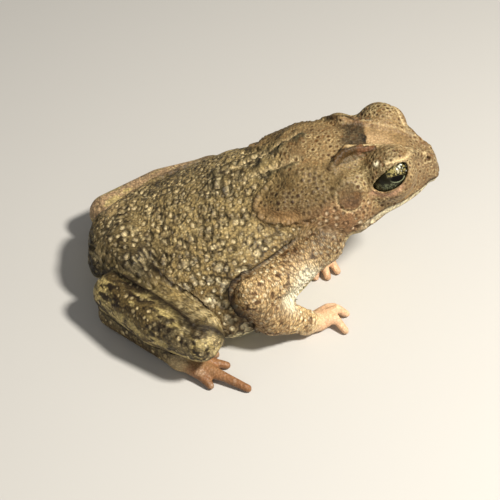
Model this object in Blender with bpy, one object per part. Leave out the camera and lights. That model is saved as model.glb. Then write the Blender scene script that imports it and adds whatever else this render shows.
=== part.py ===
# A sitting toad at life size, as a still museum model, in Blender 4.5.
# It faces +X with its left side at +Y, and its hands and feet rest on z = 0.
# Each part of the body is a signed distance field, sampled on one grid. The fields are blended into
# one skin, and the skin is parted with thin cuts where one part of the body meets the next.
# Sizes and places are in millimetres up to the last step, which makes each mesh in metres.

import math
import random

import bmesh
import bpy
import numpy as np
import openvdb

METRES = 0.001

# Driving dimensions
STEP = 0.62
CUT = 0.34
FLOOR = 0.0
FAR = 9.0
GRID_LOW = (-43.0, -43.0, -2.5)
GRID_HIGH = (41.0, 43.0, 41.0)
# The point of the floor under the middle of the toad's box, which becomes the origin
ORIGIN = (-0.43, -3.06, 0.0)
SEED = 7

# The head's own frame: its origin is the tip of the snout at the height of the mouth
SNOUT = (34.9, 0.0, 26.2)
HEAD_PITCH = math.radians(5.0)
# The cut behind the head, the back of the jaw, and how far below the mouth the throat begins there
NECK_CUT = 22.4
JAW_BACK = 18.8
THROAT_TOP = -3.2

# Eyes, lids and ears, in the head's frame: behind the snout, to the side, above the mouth
EYE = (9.75, 7.65, 5.8)
EYE_RADIUS = 4.1
EYE_TILT = math.radians(14.0)
# The gap between the lids, in the eye's own frame: its middle, its half length and height, its slant
OPENING_MIDDLE = (-0.45, 0.64)
OPENING_RADII = (3.9, 1.82)
OPENING_SLANT = math.radians(20.7)
# The upper and the lower lid, each as a ball in the head's frame with its radius
LIDS = ((10.1, 7.3, 6.4, 4.8), (9.75, 7.5, 5.5, 4.85))
EAR = (18.0, 11.5, 4.8)
EAR_RADII = (2.4, 2.85)
EAR_DEPTH = 1.1
EAR_RIM = 0.75
EAR_RIM_HEIGHT = 0.15
NOSTRIL = (1.9, 2.3, 4.7)
NOSTRIL_RADIUS = 0.5

# Torso: sections across x as (x, half width, bottom, top, height where widest, roundness above it)
TORSO = (
    (-32.0, 8.8, 5.0, 12.3, 8.4, 2.0),
    (-27.0, 13.2, 2.8, 15.3, 7.8, 1.9),
    (-20.0, 19.4, 1.3, 18.9, 6.8, 1.8),
    (-12.0, 23.6, 0.4, 22.9, 6.2, 1.75),
    (-5.0, 24.2, 0.4, 26.2, 6.6, 1.8),
    (2.0, 20.8, 2.2, 29.3, 8.6, 1.75),
    (9.0, 16.4, 7.4, 31.7, 13.6, 1.75),
    (17.0, 12.6, 18.6, 33.2, 22.6, 1.8),
)
TORSO_CAPS = (3.5, 4.5)
BELLY_ROUNDNESS = 2.7

# Head: sections across its own axis, as (behind the snout, half width, bottom, top, height where
# widest, roundness above it)
HEAD = (
    (1.6, 3.9, -1.2, 4.9, 0.8, 2.2),
    (4.0, 6.3, -2.4, 6.8, 0.6, 2.0),
    (7.0, 8.4, -3.3, 8.3, 0.4, 1.85),
    (11.0, 10.5, -4.1, 9.6, 0.1, 1.75),
    (15.5, 12.7, -4.3, 10.6, 0.1, 1.7),
    (20.0, 13.5, -5.3, 10.6, 0.4, 1.75),
    (26.0, 12.6, -6.6, 9.4, 1.0, 1.9),
)
HEAD_CAPS = (2.0, 6.0)
JAW_ROUNDNESS = 2.7

# Gland behind each ear, from its front end to its back end
GLAND_FRONT = (14.0, 7.1, 30.0)
GLAND_BACK = (1.2, 9.5, 25.3)
GLAND_RADII = (3.5, 4.7)

# Fold beside the spine, on one side
BACK_RIDGE = ((-11.0, 2.2, 22.6), (-2.0, 2.8, 26.8), (6.0, 3.4, 30.2), (11.0, 4.0, 31.6))
BACK_RIDGE_RADII = (0.7, 1.0, 1.0, 0.8)

# Joints of the limbs as (x, away from the middle, z)
RIGHT = {
    "shoulder": (11.4, 13.6, 19.0),
    "upper_arm": (4.2, 19.0, 16.6),
    "elbow": (-2.4, 22.6, 14.4),
    "forearm": (1.5, 22.0, 8.0),
    "wrist": (8.0, 19.3, 3.7),
    "hip": (-28.0, 4.5, 9.8),
    "thigh": (-20.6, 18.2, 9.2),
    "knee": (-12.4, 28.2, 10.4),
    "shank_top": (-12.8, 30.4, 9.6),
    "shank": (-21.3, 23.5, 8.6),
    "heel": (-30.1, 14.0, 8.0),
    "tarsus_top": (-30.4, 14.4, 2.85),
    "tarsus": (-16.7, 27.2, 2.4),
}
LEFT = {
    "shoulder": (12.4, 13.8, 19.8),
    "upper_arm": (7.6, 16.0, 15.6),
    "elbow": (3.2, 15.4, 9.4),
    "forearm": (8.6, 10.0, 6.6),
    "wrist": (14.6, 3.4, 3.9),
    "hip": (-28.0, 4.5, 8.6),
    "thigh": (-19.6, 15.8, 7.4),
    "knee": (-9.6, 23.0, 8.2),
    "shank_top": (-9.0, 24.4, 7.8),
    "shank": (-20.6, 19.2, 7.6),
    "heel": (-32.1, 12.7, 6.8),
    "tarsus_top": (-32.0, 13.4, 2.85),
    "tarsus": (-15.8, 23.0, 2.4),
}

# Fingers from the inner one out, each as knuckle and tip
RIGHT_FINGERS = (
    ((10.8, 15.4, 1.8), (11.9, 13.4, 0.8)),
    ((12.9, 13.6, 1.8), (14.6, 12.2, 0.8)),
    ((14.8, 14.6, 2.5), (16.8, 14.5, 0.8)),
    ((14.2, 17.0, 2.2), (16.2, 19.4, 0.8)),
)
LEFT_FINGERS = (
    ((14.9, 0.0, 2.3), (16.2, -1.5, 0.8)),
    ((13.2, -0.9, 2.4), (14.0, -3.2, 0.8)),
    ((11.6, -0.4, 2.3), (11.4, -3.2, 0.8)),
    ((11.0, 1.4, 2.0), (9.0, -0.4, 0.8)),
)
PALM = 1.75

# Toes from the inner one out, each as base and tip: along the foot and away from its middle
TOES = (
    ((1.2, -2.2), (2.1, -5.6)),
    ((2.6, -1.6), (4.9, -5.2)),
    ((3.2, -0.8), (8.2, -3.5)),
    ((3.4, 0.2), (14.7, 0.2)),
    ((2.6, 1.2), (7.9, 2.8)),
)
TOE_HEIGHTS = (2.1, 0.78)
FOOT_HEADING = {-1: math.radians(29.0), 1: math.radians(20.0)}

# Joints and radii along each part of a limb, and the radii from the wrist or heel to a digit's tip
LIMBS = {
    "upper_arm": (("shoulder", "upper_arm", "elbow"), (4.1, 3.6, 3.5)),
    "forearm": (("elbow", "forearm", "wrist"), (3.2, 3.9, 2.4)),
    "thigh": (("hip", "thigh", "knee"), (4.4, 4.2, 3.8)),
    "shank": (("shank_top", "shank", "heel"), (3.8, 4.6, 4.0)),
    "tarsus": (("tarsus_top", "tarsus"), (3.0, 2.5)),
}
FINGER_RADII = (2.0, 1.5, 0.95, 0.8)
TOE_RADII = (2.2, 1.5, 0.95, 0.8)

# Corners of the thin fold of skin in the crook of each elbow, and its thickness
ELBOW_FOLDS = {
    -1: ((8.2, 18.4, 15.2), (5.0, 20.4, 10.0), (-1.0, 22.5, 13.0)),
    1: ((11.2, 15.0, 14.6), (8.6, 11.0, 9.0), (4.6, 15.0, 11.0)),
}
ELBOW_FOLD_THICKNESS = 1.6

# How far along the digits the skin between them reaches
FINGER_WEB = 0.2
TOE_WEB = 0.55

# Width of the rounding where each part joins the skin
BLENDS = {
    "neck": 4.0,
    "ridge": 1.4,
    "parotoid": 1.6,
    "upper_arm": 2.6,
    "forearm": 1.4,
    "hand": 1.2,
    "thigh": 1.3,
    "shank": 0.7,
    "tarsus": 0.6,
    "foot": 1.0,
}

# Warts: where their rows run along x, the space between rows, the space in a row and their radii
WART_ROWS = (-31.0, 11.0, 3.9)
WART_SPACING = 4.3
WART_RADII = (0.9, 1.45)

# Triangles left in each kind of node
TRIANGLES = {
    "torso": 6200,
    "head": 2600,
    "lower_jaw": 500,
    "eye": 180,
    "tympanum": 90,
    "parotoid": 260,
    "upper_arm": 300,
    "forearm": 300,
    "hand": 700,
    "thigh": 360,
    "shank": 340,
    "tarsus": 180,
    "foot": 900,
}

# Linear colour and roughness of each kind of node, the first for all that are not named
FINISHES = {
    "skin": ((0.20, 0.145, 0.068), 0.62),
    "hand": ((0.42, 0.20, 0.09), 0.55),
    "foot": ((0.42, 0.20, 0.09), 0.55),
    "lower_jaw": ((0.42, 0.33, 0.20), 0.60),
    "tympanum": ((0.24, 0.13, 0.07), 0.50),
    "eye": ((0.055, 0.047, 0.018), 0.08),
}


def vector(*values):
    """Any point or direction as an array."""
    return np.array(values[0] if len(values) == 1 else values, dtype=np.float64)


def length_of(v):
    return np.sqrt((v * v).sum(axis=-1))


def unit(v):
    return v / length_of(v)


def mirrored(point, side):
    """A point given with y away from the middle, on side -1 (right) or 1 (left)."""
    return vector(point) * (1.0, side, 1.0)


def blend(a, b, width):
    """The union of two fields, rounded over that width where they meet."""
    h = np.maximum(width - np.abs(a - b), 0.0) / width
    return np.minimum(a, b) - h * h * width * 0.25


def blend_out(a, b, width):
    """The overlap of two fields, with the edge rounded over that width."""
    return -blend(-a, -b, width)


def carve(a, b, width=0.0):
    """Field a without field b, with the edge rounded over that width."""
    return -blend(-a, b, width) if width else np.maximum(a, -b)


def smooth_curve(x, xs, ys):
    """Cubic curve through the points, level beyond its ends."""
    xs, ys = vector(xs), vector(ys)
    slope = np.gradient(ys, xs)
    x = np.clip(x, xs[0], xs[-1])
    i = np.clip(np.searchsorted(xs, x) - 1, 0, len(xs) - 2)
    width = xs[i + 1] - xs[i]
    t = (x - xs[i]) / width
    start = (1 + 2 * t) * (1 - t) ** 2 * ys[i] + t * (1 - t) ** 2 * width * slope[i]
    end = t * t * (3 - 2 * t) * ys[i + 1] + t * t * (t - 1) * width * slope[i + 1]
    return start + end


class Grid:
    """The points that the fields are sampled at."""

    def __init__(self, low, high, step):
        self.low = vector(low)
        self.step = step
        self.shape = tuple(np.ceil((vector(high) - self.low) / step).astype(int) + 1)

    def block(self, low, high):
        """The part of the grid from low to high, as slices and as points."""
        first = np.clip(np.floor((vector(low) - self.low) / self.step), 0, None).astype(int)
        last = np.ceil((vector(high) - self.low) / self.step).astype(int) + 1
        last = np.minimum(last, self.shape)
        axes = [self.low[i] + self.step * np.arange(first[i], last[i]) for i in range(3)]
        points = np.stack(np.meshgrid(*axes, indexing="ij"), axis=-1)
        return tuple(slice(a, b) for a, b in zip(first, last)), points

    def index(self, place):
        """The grid point nearest to a place."""
        return tuple(np.round((vector(place) - self.low) / self.step).astype(int))

    def sample(self, distance, low, high, margin=FAR):
        """The field of distance(points), worked out near its box only and FAR elsewhere."""
        field = np.full(self.shape, FAR)
        part, points = self.block(vector(low) - margin, vector(high) + margin)
        field[part] = np.minimum(distance(points), FAR)
        return field

    def as_distance(self, value):
        """A field of any scale, turned into millimetres by its own slope."""
        slope = np.sqrt(sum(g * g for g in np.gradient(value, self.step)))
        return value / np.maximum(slope, 1e-3)


def ball(points, centre, radius):
    return length_of(points - vector(centre)) - radius


def ellipsoid(points, centre, radii, turn=None):
    """turn holds the ellipsoid's own axes as rows."""
    q = points - vector(centre)
    if turn is not None:
        q = q @ turn.T
    radii = vector(radii)
    near, steep = length_of(q / radii), length_of(q / radii**2)
    return near * (near - 1.0) / np.maximum(steep, 1e-6)


def cone(points, a, b, radius_a, radius_b):
    """A round-ended limb piece from a to b."""
    a, b = vector(a), vector(b)
    axis = b - a
    t = np.clip(((points - a) @ axis) / (axis @ axis), 0.0, 1.0)
    return length_of(points - a - t[..., None] * axis) - (radius_a + (radius_b - radius_a) * t)


def web(points, root, tip_a, tip_b, thickness):
    """A flat three-cornered skin between two digits."""
    root, tip_a, tip_b = vector(root), vector(tip_a), vector(tip_b)
    normal = unit(np.cross(tip_a - root, tip_b - root))
    middle = (root + tip_a + tip_b) / 3
    field = np.abs((points - root) @ normal) - thickness / 2
    for start, end in ((root, tip_a), (tip_a, tip_b), (tip_b, root)):
        edge = unit(np.cross(end - start, normal))
        if (middle - start) @ edge > 0:
            edge = -edge
        field = np.maximum(field, (points - start) @ edge)
    return field


def section_at(x, sections):
    """Half width, bottom, top, widest height and upper roundness of a loft at x."""
    xs, *columns = zip(*sections)
    return [smooth_curve(x, xs, column) for column in columns]


def loft(points, sections, caps, under):
    """How far out a point lies, 0 on the surface of a body with egg-shaped sections across x."""
    x, z = points[..., 0], points[..., 2]
    width, bottom, top, middle, over = section_at(x, sections)
    side = np.abs(points[..., 1]) / width
    above = z > middle
    tall = np.where(above, (z - middle) / (top - middle), (middle - z) / (middle - bottom))
    power = np.where(above, over, under)
    first, last = sections[0][0], sections[-1][0]
    past = np.maximum((first - x) / caps[0], 0) + np.maximum((x - last) / caps[1], 0)
    return (side**power + tall**power + past**power) ** (1 / power) - 1.0


def chain(joints, radii):
    """A function that gives the distance to pieces strung from joint to joint."""

    def distance(points):
        pieces = zip(joints, joints[1:], radii, radii[1:])
        return np.min([cone(points, *piece) for piece in pieces], axis=0)

    return distance


def box_of(joints, radii):
    joints, widest = vector(joints), max(radii)
    return joints.min(axis=0) - widest, joints.max(axis=0) + widest


def head_axes():
    """Rows: forward, to the left and up, in the head's own frame."""
    c, s = math.cos(HEAD_PITCH), math.sin(HEAD_PITCH)
    return vector(((c, 0.0, s), (0.0, 1.0, 0.0), (-s, 0.0, c)))


def from_head(behind, side, above):
    """A place in the head's frame, as a point of the grid."""
    return vector(SNOUT) + vector(-behind, side, above) @ head_axes()


def to_head(points):
    """Grid points as (behind the snout, side, above the mouth)."""
    return ((points - vector(SNOUT)) @ head_axes().T) * (-1.0, 1.0, 1.0)


def torso_field(grid):
    part, points = grid.block((-43, -30, -3), (30, 30, 40))
    field = np.full(grid.shape, FAR)
    field[part] = grid.as_distance(loft(points, TORSO, TORSO_CAPS, BELLY_ROUNDNESS))
    return np.minimum(field, FAR)


def head_field(grid):
    """Skull and jaws, without lids, crests or ears."""
    part, points = grid.block((-2, -22, 8), (41, 22, 43))
    field = np.full(grid.shape, FAR)
    field[part] = grid.as_distance(loft(to_head(points), HEAD, HEAD_CAPS, JAW_ROUNDNESS))
    return np.minimum(field, FAR)


def mouth_height(behind):
    """The line of the lips, in the head's frame: it drops at the corner of the mouth."""
    return -0.45 + 0.12 * np.cos(behind * 0.6) - 0.13 * np.maximum(behind - 14.0, 0.0) ** 2


def crest_lines():
    """Each crest of the head as joints in the head's frame, with radii."""
    return (
        (((1.3, 1.7, 4.5), (3.1, 2.2, 5.9), (5.4, 2.8, 7.3), (7.9, 3.3, 8.6)), (0.6, 0.6, 0.65, 0.7)),
        (((7.9, 3.3, 8.4), (10.3, 3.7, 9.1), (13.6, 4.1, 10.0), (17.8, 4.7, 10.7)), (0.7, 0.75, 0.8, 0.8)),
        (((17.8, 4.7, 10.7), (19.6, 6.2, 10.2), (21.0, 7.8, 9.2)), (0.8, 0.9, 0.7)),
        (((13.4, 8.6, 7.6), (15.8, 9.2, 7.6), (18.6, 9.4, 7.7)), (0.8, 0.9, 0.8)),
        (((4.6, 3.2, 7.0), (5.6, 5.0, 7.6), (6.6, 6.6, 8.0)), (0.6, 0.6, 0.6)),
    )


def eye_axes(side):
    """Rows for one eye, in the grid's frame: along its opening, up across it, and outwards."""
    out = unit(vector(0.10, 0.93 * side, 0.32))
    along = vector(math.cos(EYE_TILT), 0.0, math.sin(EYE_TILT))
    along = unit(along - (along @ out) * out)
    return vector((along, np.cross(out, along) * -side, out)) @ head_axes()


def eye_opening(points, side):
    """Distance to the oval gap between the lids."""
    q = (points - eye_centre(side)) @ eye_axes(side).T
    a, b = q[..., 0] - OPENING_MIDDLE[0], q[..., 1] - OPENING_MIDDLE[1]
    c, s = math.cos(OPENING_SLANT), math.sin(OPENING_SLANT)
    along, up = (a * c + b * s) / OPENING_RADII[0], (b * c - a * s) / OPENING_RADII[1]
    oval = (np.sqrt(along**2 + up**2) - 1.0) * OPENING_RADII[1]
    return np.maximum(oval, 0.6 - q[..., 2])


def add_head_forms(grid, skin):
    """Lids, crests, lips, the rims of the ears and the pits of the nostrils."""
    for side in (-1, 1):
        for behind, away, above, radius in LIDS:
            lid = from_head(behind, away * side, above)
            cover = grid.sample(lambda p: ball(p, lid, radius), lid - 5, lid + 5, 3)
            skin = blend(skin, cover, 1.8)
        eye = eye_centre(side)
        gap = grid.sample(lambda p: eye_opening(p, side), eye - 5, eye + 5, 1)
        for joints, radii in crest_lines():
            line = [from_head(j[0], j[1] * side, j[2]) for j in joints]
            crest = grid.sample(chain(line, radii), *box_of(line, radii), 3)
            skin = blend(skin, crest, 1.0)
        skin = carve(skin, gap, 0.5)
        skin = blend(skin, ear_field(grid, side, EAR_RIM, EAR_RIM_HEIGHT), 0.9)
        pit = from_head(NOSTRIL[0], NOSTRIL[1] * side, NOSTRIL[2])
        way = unit(vector(0.3, 0.9 * side, 0.5)) @ head_axes()
        mound, out = pit - way * 0.5, pit + way * 0.9
        skin = blend(skin, grid.sample(lambda p: ball(p, mound, 1.0), mound - 2, mound + 2, 2), 0.8)
        hole = grid.sample(lambda p: cone(p, pit, out, NOSTRIL_RADIUS, NOSTRIL_RADIUS), pit - 2, pit + 2, 1)
        skin = carve(skin, hole, 0.3)
    return skin


def ear_axis(side):
    """The way that an ear drum faces."""
    return unit(vector(0.0, side, 0.42)) @ head_axes()


def ear_field(grid, side, wider=0.0, thicker=0.0):
    """The oval plate of one ear drum, taller than it is long."""
    centre = from_head(EAR[0], EAR[1] * side, EAR[2])
    out = ear_axis(side)
    along = unit(vector(1.0, 0.0, 0.0) - out[0] * out)
    turn = vector((along, np.cross(out, along), out))
    scale = (EAR_RADII[0] + wider, EAR_RADII[1] + wider)

    def plate(points):
        q = (points - centre) @ turn.T
        oval = (np.sqrt((q[..., 0] / scale[0]) ** 2 + (q[..., 1] / scale[1]) ** 2) - 1.0) * scale[0]
        deep = np.abs(q[..., 2]) - EAR_DEPTH / 2 - thicker
        return blend_out(oval, deep, 0.5)

    return grid.sample(plate, centre - 4, centre + 4, 3)


def eye_centre(side):
    return from_head(EYE[0], EYE[1] * side, EYE[2])


def eye_field(grid, side, grow=0.0):
    centre = eye_centre(side)
    eye = lambda p: ball(p, centre, EYE_RADIUS + grow)
    return grid.sample(eye, centre - 5, centre + 5, 3)


def gland_field(grid, side):
    front, back = mirrored(GLAND_FRONT, side), mirrored(GLAND_BACK, side)
    along = unit(front - back)
    level = unit(np.cross((0.0, 0.0, 1.0), along))
    turn = vector((along, level, np.cross(along, level)))
    radii = (length_of(front - back) / 2 + 2.4, GLAND_RADII[1], GLAND_RADII[0])
    gland = lambda p: ellipsoid(p, (front + back) / 2, radii, turn)
    return grid.sample(gland, np.minimum(front, back) - 6, np.maximum(front, back) + 6, 3)


def joint(name, side):
    return mirrored((RIGHT if side < 0 else LEFT)[name], side)


def finger_lines(side):
    """Joints of each finger from the wrist to the tip."""
    wrist = joint("wrist", side) - (0.0, 0.0, 0.7)
    lines = []
    for knuckle, tip in RIGHT_FINGERS if side < 0 else LEFT_FINGERS:
        knuckle, tip = mirrored(knuckle, side), mirrored(tip, side)
        palm = wrist + (knuckle - wrist) * 0.5
        palm[2] = PALM
        lines.append((wrist, palm, knuckle, tip))
    return lines


def toe_lines(side):
    """Joints of each toe from the heel of the foot to the tip."""
    root = joint("tarsus", side) - (0.0, 0.0, 0.1)
    turn = FOOT_HEADING[side]
    along = vector(math.cos(turn), math.sin(turn) * side, 0.0)
    out = vector(-math.sin(turn), math.cos(turn) * side, 0.0)
    lines = []
    for base, tip in TOES:
        base = root + along * base[0] + out * base[1]
        tip = root + along * tip[0] + out * tip[1]
        base[2], tip[2] = TOE_HEIGHTS
        middle = base * 0.45 + tip * 0.55 + (0.0, 0.0, 0.25)
        lines.append((root, base, middle, tip))
    return lines


def digit_field(grid, lines, radii, web_share):
    """Fingers or toes with the skin between them."""
    field = np.full(grid.shape, FAR)
    for line in lines:
        field = blend(field, grid.sample(chain(line, radii), *box_of(line, radii), 3), 0.5)
    for a, b in zip(lines, lines[1:]):
        ends = [line[1] + (line[3] - line[1]) * web_share for line in (a, b)]
        root = (a[1] + b[1]) / 2 - (a[3] - a[1] + b[3] - b[1]) * 0.1
        corners = vector([root, *ends])
        skin = grid.sample(lambda p: web(p, *corners, 0.9), corners.min(0) - 1, corners.max(0) + 1, 2)
        field = blend(field, skin, 0.7)
    return field


def limb_fields(grid, side):
    """The field of each part of one arm and one leg."""

    def limb(names, radii):
        line = [joint(name, side) for name in names]
        return grid.sample(chain(line, radii), *box_of(line, radii), 5)

    fields = {name: limb(*line) for name, line in LIMBS.items()}
    corners = vector([mirrored(corner, side) for corner in ELBOW_FOLDS[side]])
    fold = grid.sample(lambda p: web(p, *corners, ELBOW_FOLD_THICKNESS), corners.min(0), corners.max(0), 3)
    fields["upper_arm"] = blend(fields["upper_arm"], fold, 1.2)
    fields["hand"] = digit_field(grid, finger_lines(side), FINGER_RADII, FINGER_WEB)
    fields["foot"] = digit_field(grid, toe_lines(side), TOE_RADII, TOE_WEB)
    suffix = "_right" if side < 0 else "_left"
    return {name + suffix: field for name, field in fields.items()}


def torso_surface(x, angle):
    """The middle and the surface of the torso at x, at an angle from its left side over the back."""
    width, bottom, top, middle, over = (float(value) for value in section_at(x, TORSO))
    c, s = math.cos(angle), math.sin(angle)
    tall, power = (top - middle, over) if s > 0 else (middle - bottom, BELLY_ROUNDNESS)
    reach = (abs(c) ** power + abs(s) ** power) ** (-1 / power)
    centre = vector(x, 0.0, middle)
    return centre, centre + (0.0, width * c * reach, tall * s * reach)


def add_warts(grid, skin, others):
    """Warts in uneven rows over the back and flanks, kept off the glands and the limbs."""
    draw = random.Random(SEED)
    x = WART_ROWS[0]
    while x < WART_ROWS[1]:
        angle = math.radians(-10.0 + draw.uniform(0.0, 12.0))
        while angle < math.radians(190.0):
            centre, place = torso_surface(x + draw.uniform(-1.2, 1.2), angle)
            radius = draw.uniform(*WART_RADII)
            seat = place + unit(centre - place) * radius * 0.45
            angle += (WART_SPACING + draw.uniform(-0.8, 0.8)) / length_of(place - centre)
            if others[grid.index(place)] < radius:
                continue
            part, points = grid.block(place - 3.2, place + 3.2)
            skin[part] = blend(skin[part], ball(points, seat, radius), 0.6)
        x += WART_ROWS[2]
    return skin


def back_ridges(grid):
    """A low fold along each side of the spine, from the neck to the middle of the back."""
    field = np.full(grid.shape, FAR)
    for side in (-1, 1):
        line = [mirrored(point, side) for point in BACK_RIDGE]
        ridge = grid.sample(chain(line, BACK_RIDGE_RADII), *box_of(line, BACK_RIDGE_RADII), 3)
        field = np.minimum(field, ridge)
    return field


def nearest(grid, own, others):
    """Negative where a part's own field is nearer than every other, in millimetres from the cut."""
    lead = np.maximum(own, -FAR) - others
    slope = np.sqrt(sum(g * g for g in np.gradient(lead, grid.step)))
    return lead / np.maximum(slope, 0.55)


def part_skin(grid):
    """The field of every node."""
    torso, head = torso_field(grid), head_field(grid)
    skin = blend(blend(torso, head, BLENDS["neck"]), back_ridges(grid), BLENDS["ridge"])
    limbs = {}
    for side, suffix in ((-1, "_right"), (1, "_left")):
        limbs["parotoid" + suffix] = gland_field(grid, side)
        limbs.update(limb_fields(grid, side))
    skin = add_warts(grid, skin, np.min([head, *limbs.values()], axis=0))
    for name, field in limbs.items():
        skin = blend(skin, field, BLENDS[kind_of(name)])
    skin = add_head_forms(grid, skin)

    _, points = grid.block(GRID_LOW, GRID_HIGH)
    in_head = to_head(points)
    skin = np.maximum(skin, FLOOR - points[..., 2])
    throat = np.minimum(in_head[..., 0] - JAW_BACK, THROAT_TOP - in_head[..., 2])
    neck = np.maximum(in_head[..., 0] - NECK_CUT, throat)
    mouth = in_head[..., 2] - mouth_height(in_head[..., 0])
    jaw = np.maximum(mouth, in_head[..., 0] - JAW_BACK)
    seats = [eye_field(grid, side, CUT) for side in (-1, 1)]
    seats += [ear_field(grid, side, CUT, CUT) for side in (-1, 1)]
    seats = np.min(seats, axis=0)

    nodes = {}
    own = {"trunk": np.minimum(torso, head), **limbs}
    order = np.sort(np.stack(list(own.values())), axis=0)[:2]
    for name, field in own.items():
        others = np.where(field <= order[0], order[1], order[0])
        region = nearest(grid, field, others) + CUT / 2
        solid = carve(np.maximum(skin, region), seats)
        if name != "trunk":
            nodes[name] = solid
            continue
        nodes["torso"] = np.maximum(solid, CUT / 2 - neck)
        front = np.maximum(solid, neck + CUT / 2)
        nodes["head"] = np.maximum(front, CUT / 2 - jaw)
        nodes["lower_jaw"] = np.maximum(front, jaw + CUT / 2)
    for side, suffix in ((-1, "_right"), (1, "_left")):
        nodes["eye" + suffix] = eye_field(grid, side)
        nodes["tympanum" + suffix] = ear_field(grid, side)
    return nodes


def kind_of(name):
    """A node's name without its side."""
    return name.removesuffix("_right").removesuffix("_left")


def mesh_of(name, grid, field):
    """The closed surface at 0 of a sampled field, its largest piece only, as an object in metres."""
    volume = openvdb.FloatGrid(1.0)
    volume.copyFromArray(np.ascontiguousarray(field, dtype=np.float32))
    points, quads = volume.convertToQuads(0.0)
    mesh = bpy.data.meshes.new(name)
    places = (points * grid.step + grid.low - vector(ORIGIN)) * METRES
    mesh.from_pydata(places.tolist(), [], quads[:, ::-1].tolist())
    keep_largest(mesh)
    mesh.validate()
    obj = bpy.data.objects.new(name, mesh)
    bpy.context.scene.collection.objects.link(obj)
    return obj


def keep_largest(mesh):
    """Deletes every closed surface of the mesh but the one with the most points."""
    shape = bmesh.new()
    shape.from_mesh(mesh)
    left, pieces = set(shape.verts), []
    while left:
        piece, edge = set(), {left.pop()}
        while edge:
            piece |= edge
            edge = {e.other_vert(v) for v in edge for e in v.link_edges} - piece
        left -= piece
        pieces.append(piece)
    pieces.sort(key=len)
    for piece in pieces[:-1]:
        bmesh.ops.delete(shape, geom=list(piece), context="VERTS")
    bmesh.ops.recalc_face_normals(shape, faces=shape.faces)
    shape.to_mesh(mesh)
    shape.free()


def thin_out(obj, triangles):
    """Keeps about that many triangles, fewest where the surface is plain."""
    count = sum(len(face.vertices) - 2 for face in obj.data.polygons)
    thin = obj.modifiers.new("fewer_faces", "DECIMATE")
    thin.ratio = min(1.0, triangles / count)


def finish(obj):
    """Gives the node a material of its own."""
    colour, roughness = FINISHES.get(kind_of(obj.name), FINISHES["skin"])
    made = bpy.data.materials.new(obj.name)
    made.use_nodes = True
    shader = made.node_tree.nodes["Principled BSDF"]
    shader.inputs["Base Color"].default_value = (*colour, 1.0)
    shader.inputs["Roughness"].default_value = roughness
    shader.inputs["Metallic"].default_value = 0.0
    obj.data.materials.append(made)
    obj.data.shade_smooth()


def main():
    for obj in list(bpy.data.objects):
        bpy.data.objects.remove(obj, do_unlink=True)
    grid = Grid(GRID_LOW, GRID_HIGH, STEP)
    for name, field in part_skin(grid).items():
        obj = mesh_of(name, grid, field)
        thin_out(obj, TRIANGLES[kind_of(name)])
        finish(obj)


main()
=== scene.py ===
# The looks of a sitting toad at life size, a still museum model, in Blender 4.5.
# It faces +X with its left side at +Y. Sizes and places are in millimetres up to the last step.
# One skin covers all the flesh: the body's fields are blended and meshed, then warts and folds are
# raised on it and its colours are painted, all by formula. The eyes are pieces of their own.
import itertools
import math
import random

import bmesh
import bpy
import numpy as np
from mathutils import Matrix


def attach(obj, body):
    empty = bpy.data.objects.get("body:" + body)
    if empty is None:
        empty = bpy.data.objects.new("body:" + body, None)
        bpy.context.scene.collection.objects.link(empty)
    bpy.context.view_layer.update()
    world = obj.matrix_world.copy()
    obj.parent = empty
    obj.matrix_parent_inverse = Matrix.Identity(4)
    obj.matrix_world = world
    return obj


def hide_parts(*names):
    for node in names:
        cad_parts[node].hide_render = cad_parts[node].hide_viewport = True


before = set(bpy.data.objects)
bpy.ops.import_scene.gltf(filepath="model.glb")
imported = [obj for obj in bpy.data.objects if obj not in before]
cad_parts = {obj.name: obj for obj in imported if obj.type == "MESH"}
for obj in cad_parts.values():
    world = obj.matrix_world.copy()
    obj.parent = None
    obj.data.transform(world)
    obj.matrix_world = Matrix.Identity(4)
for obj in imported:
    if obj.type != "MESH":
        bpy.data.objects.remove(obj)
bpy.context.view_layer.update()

import openvdb
from mathutils import Vector

METRES = 0.001

# Grid that the skin is worked out on
STEP = 0.42
FAR = 9.0
FLOOR = 0.0
GRID_LOW = (-43.0, -43.0, -2.5)
GRID_HIGH = (41.0, 43.0, 41.0)
ORIGIN = (-0.43, -3.06, 0.0)
SEED = 7

# The head's own frame: its origin is the tip of the snout at the height of the mouth
SNOUT = (34.9, 0.0, 26.2)
HEAD_PITCH = math.radians(5.0)

# Eyes, lids and ears, in the head's frame: behind the snout, to the side, above the mouth
EYE = (9.75, 7.65, 5.8)
EYE_RADIUS = 4.1
EYE_ROOM = 0.05
EYE_TILT = math.radians(14.0)
EYE_WAY = (0.10, 0.93, 0.32)
# The gap between the lids, in the eye's own frame: its middle, its half length and height, its
# slant and how far from the eye's centre it starts
OPENING_MIDDLE = (-0.45, 0.64)
OPENING_RADII = (3.9, 1.82)
OPENING_SLANT = math.radians(20.7)
OPENING_START = 0.6
# The upper and the lower lid, each as a ball in the head's frame with its radius
LIDS = ((10.1, 7.3, 6.4, 4.8), (9.75, 7.5, 5.5, 4.85))
EAR = (18.0, 11.5, 4.8)
EAR_RADII = (2.4, 2.85)
EAR_SLOPE = 0.42
EAR_DEPTH = 1.1
EAR_RIM = 0.75
EAR_RIM_HEIGHT = 0.15
NOSTRIL = (1.9, 2.3, 4.7)
NOSTRIL_RADIUS = 0.5
NOSTRIL_WAY = (0.3, 0.9, 0.5)
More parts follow.
